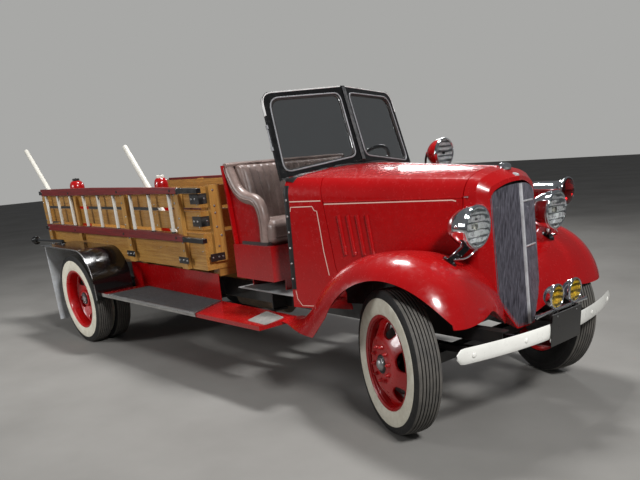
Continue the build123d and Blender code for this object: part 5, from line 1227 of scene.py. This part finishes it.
def board_mat(sign, side_name):
    bm = bmesh.new()
    start, width = BOARD_REAR_X + 0.004, (MAT_OUT - MAT_IN) / MAT_RIBS
    for k in range(MAT_RIBS):
        y0 = MAT_IN + width * k
        x_end = MAT_FRONT_X + (BOARD_FRONT_X - MAT_FRONT_X) * (y0 - 0.604) / (0.953 - 0.604)
        to_edge = (BOARD_REAR_Y - 0.008 - y0) / (BOARD_REAR_Y - BOARD_FRONT_Y)
        x_stop = min(x_end, BOARD_REAR_X + to_edge * (BOARD_FRONT_X - BOARD_REAR_X))
        for (a, za), (b, zb) in zip(MAT_RIB, MAT_RIB[1:]):
            ya, yb = y0 + width * a, y0 + width * b
            quad = [(start, ya, za), (x_stop, ya, za), (x_stop, yb, zb), (start, yb, zb)]
            bm.faces.new([bm.verts.new((x, sign * y, BOARD_TOP + z)) for x, y, z in quad])
    front_y = board_edge(BOARD_FRONT_X)
    rail = [(start, sign * (BOARD_REAR_Y - 0.003), 0.5175), (BOARD_FRONT_X, sign * (front_y - 0.003), 0.5175)]
    sweep(bm, rail, [(-6, -12), (6, -12), (6, 2), (3, 4.5), (-3, 4.5), (-6, 2)], UP, 1)
    sweep(bm, [(BOARD_FRONT_X, sign * (front_y - 0.004), 0.517), (MAT_FRONT_X, sign * MAT_IN, 0.517)],
          [(-7, -1), (7, -1), (5, 3.5), (-5, 3.5)], UP, 1)
    edge = [(x, sign * (board_edge(at) + 0.0008)) for x, at in
            ((BOARD_REAR_X - 0.1185, BOARD_REAR_X - 0.1185), (BOARD_FRONT_X + 0.004, BOARD_FRONT_X))]
    low, high = [[bm.verts.new((x, y, z)) for x, y in edge] for z in (0.4862, 0.5165)]
    bm.faces.new((low[0], low[1], high[1], high[0])).material_index = 2
    piece(f"board_mat_{side_name}", bm, [MAT, STEEL, STEP_METAL], sharp=25)


def step_plate(sign, side_name):
    bm = bmesh.new()
    prism(bm, [(x, sign * y, BOARD_TOP) for x, y in rounded(STEP_CORNERS, [0.02] * 4, 4)], (0, 0, 0.003))
    rear_out, front_out, front_in, rear_in = (Vector(corner) for corner in STEP_CORNERS)
    for k in range(1, 12):
        a, b = rear_in.lerp(rear_out, k / 12), front_in.lerp(front_out, k / 12)
        a, b = a.lerp(b, 0.05), a.lerp(b, 0.95)
        sweep(bm, [(p.x, sign * p.y, 0.518) for p in (a, b)], [(-5, -1), (5, -1), (3.5, 3), (-3.5, 3)], UP)
    piece(f"step_plate_{side_name}", bm, [STEP_METAL], sharp=25)


# Bed ironwork: corner straps, stake feet, carriage bolts down the stakes, screw heads along the boards
STRAP_THICK = 0.0034
BED_CORNER_X, BED_CORNER_Y = 0.3835, 0.7035
FRONT_FOOT_X, STAKE_FOOT_Y = 0.4185, 0.7383
BOARD_SCREWS_X = (-2.69, -1.86, -1.33, -0.3, 0.345)
BOARD_SCREWS_Z = (0.905, 1.000, 1.08, 1.165, 1.24, 1.335)
STAKE_BOLTS_Z = (0.905, 0.965, 1.075, 1.145, 1.255, 1.315)
FRONT_BOLTS_Z = (0.935, 1.01, 1.075, 1.175, 1.225, 1.335)


def strap(bm, low, high, depth):
    """A flat iron plate from two corners of its outer face."""
    (x0, y0, z0), (x1, y1, z1) = low, high
    prism(bm, [(x0, y0, z0), (x1, y1, z0), (x1, y1, z1), (x0, y0, z1)], depth)


def bed_ironwork():
    bm = bmesh.new()
    back = (-STRAP_THICK, 0, 0)
    for sign in (-1, 1):
        aside, inward = (0, sign, 0), (0, -sign * STRAP_THICK, 0)
        x, y = BED_CORNER_X, sign * BED_CORNER_Y
        for low, high in ((1.245, 1.318), (1.086, 1.158)):
            mid = (low + high) / 2
            strap(bm, (0.262, y, low), (x, y, high), inward)
            strap(bm, (x, y, low), (x, sign * 0.632, high), back)
            bolts(bm, [(at, y, mid) for at in (0.285, 0.335)], aside, 8, 6, 1)
            bolts(bm, [(x, sign * 0.655, mid)], FORWARD, 8, 6, 1)
        strap(bm, (FRONT_FOOT_X, sign * 0.556, 0.83), (FRONT_FOOT_X, sign * 0.683, 0.886), back)
        bolts(bm, [(FRONT_FOOT_X, sign * at, 0.858) for at in (0.575, 0.612, 0.664)], FORWARD, 8, 6, 1)
        y = sign * STAKE_FOOT_Y
        for x in (-2.67, -0.79, 0.11):
            strap(bm, (x - 0.072, y, 0.806), (x + 0.072, y, 0.856), inward)
            bolts(bm, [(x + k, y, 0.831) for k in (-0.055, 0, 0.055)], aside, 8.5, 7, 1)
            staggered = [(x + 0.018 * (-1) ** int(z * 100), sign * 0.7352, z) for z in STAKE_BOLTS_Z]
            bolts(bm, staggered, aside, 8, 5, 1)
        bolts(bm, [(x, sign * 0.7002, z) for z in BOARD_SCREWS_Z for x in BOARD_SCREWS_X], aside, 5.5, 2, 1)
    for y in (-0.58, 0, 0.58):
        staggered = [(0.4152, y + 0.016 * (-1) ** int(z * 200), z) for z in FRONT_BOLTS_Z]
        bolts(bm, staggered, FORWARD, 8.5, 6, 1)
    piece("bed_ironwork", bm, [IRONWORK, STEEL], sharp=30, edge=0.0006)


# Ladder rails: full height at the rear, cut down on top toward black front ends, with black tips at the rear
RAIL_IN, RAIL_THICK, RAIL_FOOT, RAIL_END_X = 0.735, 0.04, 0.032, 0.205
RAILS = ((1.01, ((-2.6, 0.064), (-0.4, 0.064), (0.1, 0.054), (RAIL_END_X, 0.038))),
         (1.358, ((-2.6, 0.064), (-1.35, 0.064), (-0.05, 0.048), (RAIL_END_X, 0.04))))


def ladder_rails():
    bm = bmesh.new()
    for sign in (-1, 1):
        for z, sizes in RAILS:
            foot = z - RAIL_FOOT
            rail = [(x, foot) for x, _ in sizes] + [(x, foot + tall) for x, tall in reversed(sizes)]
            sleeve = [(RAIL_END_X, foot), (0.484, foot), (0.484, z + 0.002), (RAIL_END_X, z + 0.006)]
            for look, line in enumerate((rail, sleeve)):
                prism(bm, [(x, sign * RAIL_IN, h) for x, h in line], (0, sign * RAIL_THICK, 0), look)
            block(bm, (0.2, sign * 0.7342, z - 0.0338), (0.216, sign * 0.7765, z + 0.0085), 1)
            block(bm, (-2.655, sign * 0.737, z - 0.024), (-2.585, sign * 0.7765, z + 0.014), 1)
    piece("ladder_rails_dressed", bm, [LADDER, RAIL_SLEEVE], ["ladder_rails"], edge=0.003)


def ladder_fittings():
    """Collars where the rungs meet the rails, and bolts through the rails."""
    bm = bmesh.new()
    for sign in (-1, 1):
        for k in range(9):
            for z, way in ((1.01 + RAIL_FOOT, UP), (1.358 - RAIL_FOOT, DOWN)):
                lathe(bm, [(-4, 18.5), (3, 18.5), (5, 15.5)], (-2.524 + k * 0.322, sign * 0.755, z), way, 20)
        bolts(bm, [(x, sign * 0.7748, z) for x in (-2.57, -1.86, -0.79, 0.11) for z in (1.006, 1.349)],
              (0, sign, 0), 9.5, 6)
    piece("ladder_fittings", bm, [IRONWORK], sharp=30)


# Rear fenders: rolled bead along the lip
FENDER_CORNER_X, FENDER_CORNER_Z, FENDER_CORNER_R = -1.2485, 0.593, 0.285
FENDER_LIP = [(-0.958, 0.456), (-0.961, 0.525), (-0.9635, 0.593)] + [
    (FENDER_CORNER_X + FENDER_CORNER_R * math.cos(math.radians(a)),
     FENDER_CORNER_Z + FENDER_CORNER_R * math.sin(math.radians(a))) for a in (15, 30, 45, 60, 75)
] + [(-1.2485, 0.878), (-1.5, 0.878), (-1.8, 0.878), (-2.095, 0.878)]


def rear_fender_beads():
    bm = bmesh.new()
    for sign in (-1, 1):
        sweep(bm, curve([(x, sign * 1.0535, z) for x, z in FENDER_LIP], 4), round_section(6.2), (0, sign, 0))
    piece("rear_fender_beads", bm, [STEEL], sharp=60)


def tail_lamps():
    bm = bmesh.new()
    fender = surface("rear_fenders")
    for y in (-0.85, 0.85):
        spot = (-2.81, y, 0.872)
        rear = (-1, 0, 0)
        lathe(bm, [(0, 0), (0, 30), (4, 40), (12, 45.5), (40, 46), (46, 44), (46, 40)], spot, rear, 44, 2)
        lathe(bm, [(-12, 0), (-12, 24), (0, 30)], spot, rear, 32, 2)
        lathe(bm, [(44, 40.5)] + dome(45, 8.5, 40, 8), spot, rear, 40, 1)
        lathe(bm, [(20, 0), (22, 20), (40, 36)], spot, rear, 30)
        arm = [(-2.045, y, 0.896), (-2.12, y, 0.894), (-2.3, y, 0.888), (-2.82, y, 0.872)]
        sweep(bm, curve(arm, 4), round_section(17.5, 16), LEFT, 2)
        foot = seat_on(fender, (-2.05, y, 1.2), DOWN)
        lathe(bm, [(0, 30), (5, 30), (9, 18), (28, 16), (30, 0)], foot, UP, 20, 2)
    piece("tail_lamps_dressed", bm, [CHROME, RED_LENS, BLACK], ["tail_lamps"], 35)


# Extinguishers in the bed: domed bodies with collars, caps, spouts, bands and blank labels
EXTINGUISHERS = (
    # x and y in metres, radius and height in millimetres, the cap's look
    (-0.69, -0.4, 59, 655, 4),
    (-2.34, -0.48, 72, 672, 2),
)
DECK = 0.8003


def extinguishers():
    bm = bmesh.new()
    for x, y, r, tall, cap in EXTINGUISHERS:
        foot = Vector((x, y, DECK))
        shoulder = [(tall - 82 + 60 * math.sin(a), 26 + (r - 26) * math.cos(a))
                    for a in (k / 8 * math.pi / 2 for k in range(9))]
        lathe(bm, [(0, 0), (0, r - 6), (6, r), (30, r), (34, r - 2), (40, r)] + shoulder, foot, UP)
        lathe(bm, [(tall - 36, 30), (tall - 30, 32), (tall - 24, 31), (tall - 22, 27)], foot, UP, 36, 1)
        lathe(bm, [(tall - 26, 26), (tall - 24, 34), (tall - 16, 35), (tall - 4, 34), (tall, 29), (tall, 0)],
              foot, UP, 36, cap)
        lathe(bm, [(0, 11.5), (20, 11.5), (22, 16), (30, 16), (32, 0)], (x, y, DECK + (tall - 12) / 1000),
              (1, -0.4, 0), 18, 2)
        for z in (120, tall - 180):
            lathe(bm, [(z, r + 0.4), (z, r + 2.2), (z + 26, r + 2.2), (z + 26, r + 0.4)], foot, UP, 48, 3)
        label = [math.radians(-135 + 7 * k) for k in range(13)]
        rows = [[Vector(((r + 1) * math.cos(a), (r + 1) * math.sin(a), tall - down)) / 1000 for a in label]
                for down in (330, 220)]
        skin(bm, [[bm.verts.new(foot + p) for p in row] for row in rows], 4)
    piece("bed_equipment_dressed", bm, [RED, BRASS, HOSE, STEEL, CREAM], ["bed_equipment"], 35)


# Steering wheel: ribbed grip, three spokes, hub and horn button
WHEEL_AT, WHEEL_TILT = Vector((1.085, 0.33, 1.395)), math.radians(40)
WHEEL_AXIS = Vector((-math.cos(WHEEL_TILT), 0, math.sin(WHEEL_TILT)))


def steering_wheel():
    bm = bmesh.new()
    d, side, up = basis(WHEEL_AXIS)
    rings = []
    for a in turns(120):
        out = side * math.cos(a) + up * math.sin(a)
        thick = 0.0125 + 0.0012 * math.cos(a * 36)
        rings.append([bm.verts.new(WHEEL_AT + out * 0.186 + (out * math.cos(t) + d * math.sin(t)) * thick)
                      for t in turns(14)])
    skin(bm, rings + rings[:1], 0, True)
    for a in turns(3, math.pi / 2):
        out = side * math.cos(a) + up * math.sin(a)
        for shift in (-0.009, 0, 0.009):
            run = d.cross(out) * shift
            spoke = [WHEEL_AT + d * -0.02 + out * 0.03 + run, WHEEL_AT + d * -0.014 + out * 0.1 + run * 1.2,
                     WHEEL_AT + out * 0.18 + run * 1.6]
            sweep(bm, curve(spoke, 4), round_section(3.4, 8), d, 1)
    lathe(bm, [(-48, 0), (-48, 26), (-30, 36), (-12, 40), (-4, 36), (0, 26)], WHEEL_AT, WHEEL_AXIS, 36)
    lathe(bm, [(-2, 24), (4, 23.5), (9, 18), (11, 10), (11.5, 0)], WHEEL_AT, WHEEL_AXIS, 32, 1)
    piece("steering_wheel_dressed", bm, [BLACK, CHROME], ["steering_wheel"], 45, body="steering_wheel")


def hood_hinge_ends():
    bm = bmesh.new()
    for sign in (-1, 1):
        spot = seat_on(RADIATOR_SHELL, (2.404, sign * 0.5, 1.246), (0, -sign, 0))
        bar(bm, spot + Vector((-0.012, sign * 0.001, 0)), spot + Vector((0.016, sign * 0.001, 0)), 5, 14)
    piece("hood_hinge_ends", bm, [CHROME], sharp=40)


for build in (front_wheel, rear_wheels, windshield_half, cowl_side, seat_end, board_mat, step_plate):
    for sign, side_name in SIDES:
        build(sign, side_name)
for build in (windshield_centre, windshield_skirt, seat_cushion, seat_back, seat_roll_and_shade_strip, grille,
              grille_brightwork, headlamps, headlamp_brackets, siren, spotlight, fog_lamps, bumper, front_plate,
              bed_ironwork, ladder_rails, ladder_fittings, rear_fender_beads, tail_lamps, extinguishers,
              steering_wheel, hood_hinge_ends):
    build()

# Softened edges on plain CAD solids
SOFTENED = {"bed_boards": 0.003, "bed_stakes": 0.004, "bed_floor": 0.003, "seat_base": 0.006,
            "running_boards": 0.005, "floor_plate": 0.002, "bumper_brackets": 0.003, "chassis_frame": 0.002,
            "engine_block": 0.005, "mud_flaps": 0.0015, "splash_aprons": 0.001}
for name, width in SOFTENED.items():
    soften(NODES[name], width, 40)

# Floor, backdrop, lamps and world
floor_look = Shader("floor_pale", Roughness=0.75)
floor_drift = floor_look.ramp(floor_look.noise(1.2, 6), (0.3, 0), (0.8, 1))
floor_look.set("Base Color", floor_look.mix(floor_drift, tint(136, 134, 130), tint(116, 114, 110)))
floor_look.add_bump(floor_look.noise(0.05, 5), 0.05, 0.002)
mesh = bpy.data.meshes.new("studio_floor")
mesh.from_pydata([(-40, -40, 0), (40, -40, 0), (40, 40, 0), (-40, 40, 0)], [], [(0, 1, 2, 3)])
floor = bpy.data.objects.new("studio_floor", mesh)
mesh.materials.append(floor_look.material)
scene.collection.objects.link(floor)

LAMPS = [
    # name, place, aimed at, width, height, watts
    ("key", (6.8, -2.2, 5.0), (1.5, 0, 0.7), 1.3, 0.9, 430),
    ("side", (-2.6, -5.2, 2.5), (-0.4, 0, 0.6), 1.6, 1.0, 128),
    ("top", (-0.4, 0.9, 6.5), (0, 0, 0), 1.8, 0.6, 420),
    ("back", (-3.5, 6.5, 4.0), (0, 0, 0.8), 1.6, 0.8, 130),
]
for name, place, aim, width, height, watts in LAMPS:
    lamp = bpy.data.lights.new(name, "AREA")
    lamp.shape, lamp.size, lamp.size_y, lamp.energy = "RECTANGLE", width, height, watts
    holder = bpy.data.objects.new(name, lamp)
    scene.collection.objects.link(holder)
    holder.location = place
    holder.rotation_euler = (Vector(aim) - Vector(place)).to_track_quat("-Z", "Y").to_euler()

world = bpy.data.worlds.new("studio")
scene.world = world
world.use_nodes = True
tree = world.node_tree
light = tree.nodes["Background"]
light.inputs[0].default_value = (0.95, 0.97, 1, 1)
light.inputs[1].default_value = 0.13
shown = tree.nodes.new("ShaderNodeBackground")
shown.inputs[0].default_value = tint(168, 168, 166)
shown.inputs[1].default_value = 1
path = tree.nodes.new("ShaderNodeLightPath")
both = tree.nodes.new("ShaderNodeMixShader")
tree.links.new(path.outputs["Is Camera Ray"], both.inputs[0])
tree.links.new(light.outputs[0], both.inputs[1])
tree.links.new(shown.outputs[0], both.inputs[2])
tree.links.new(both.outputs[0], tree.nodes["World Output"].inputs[0])
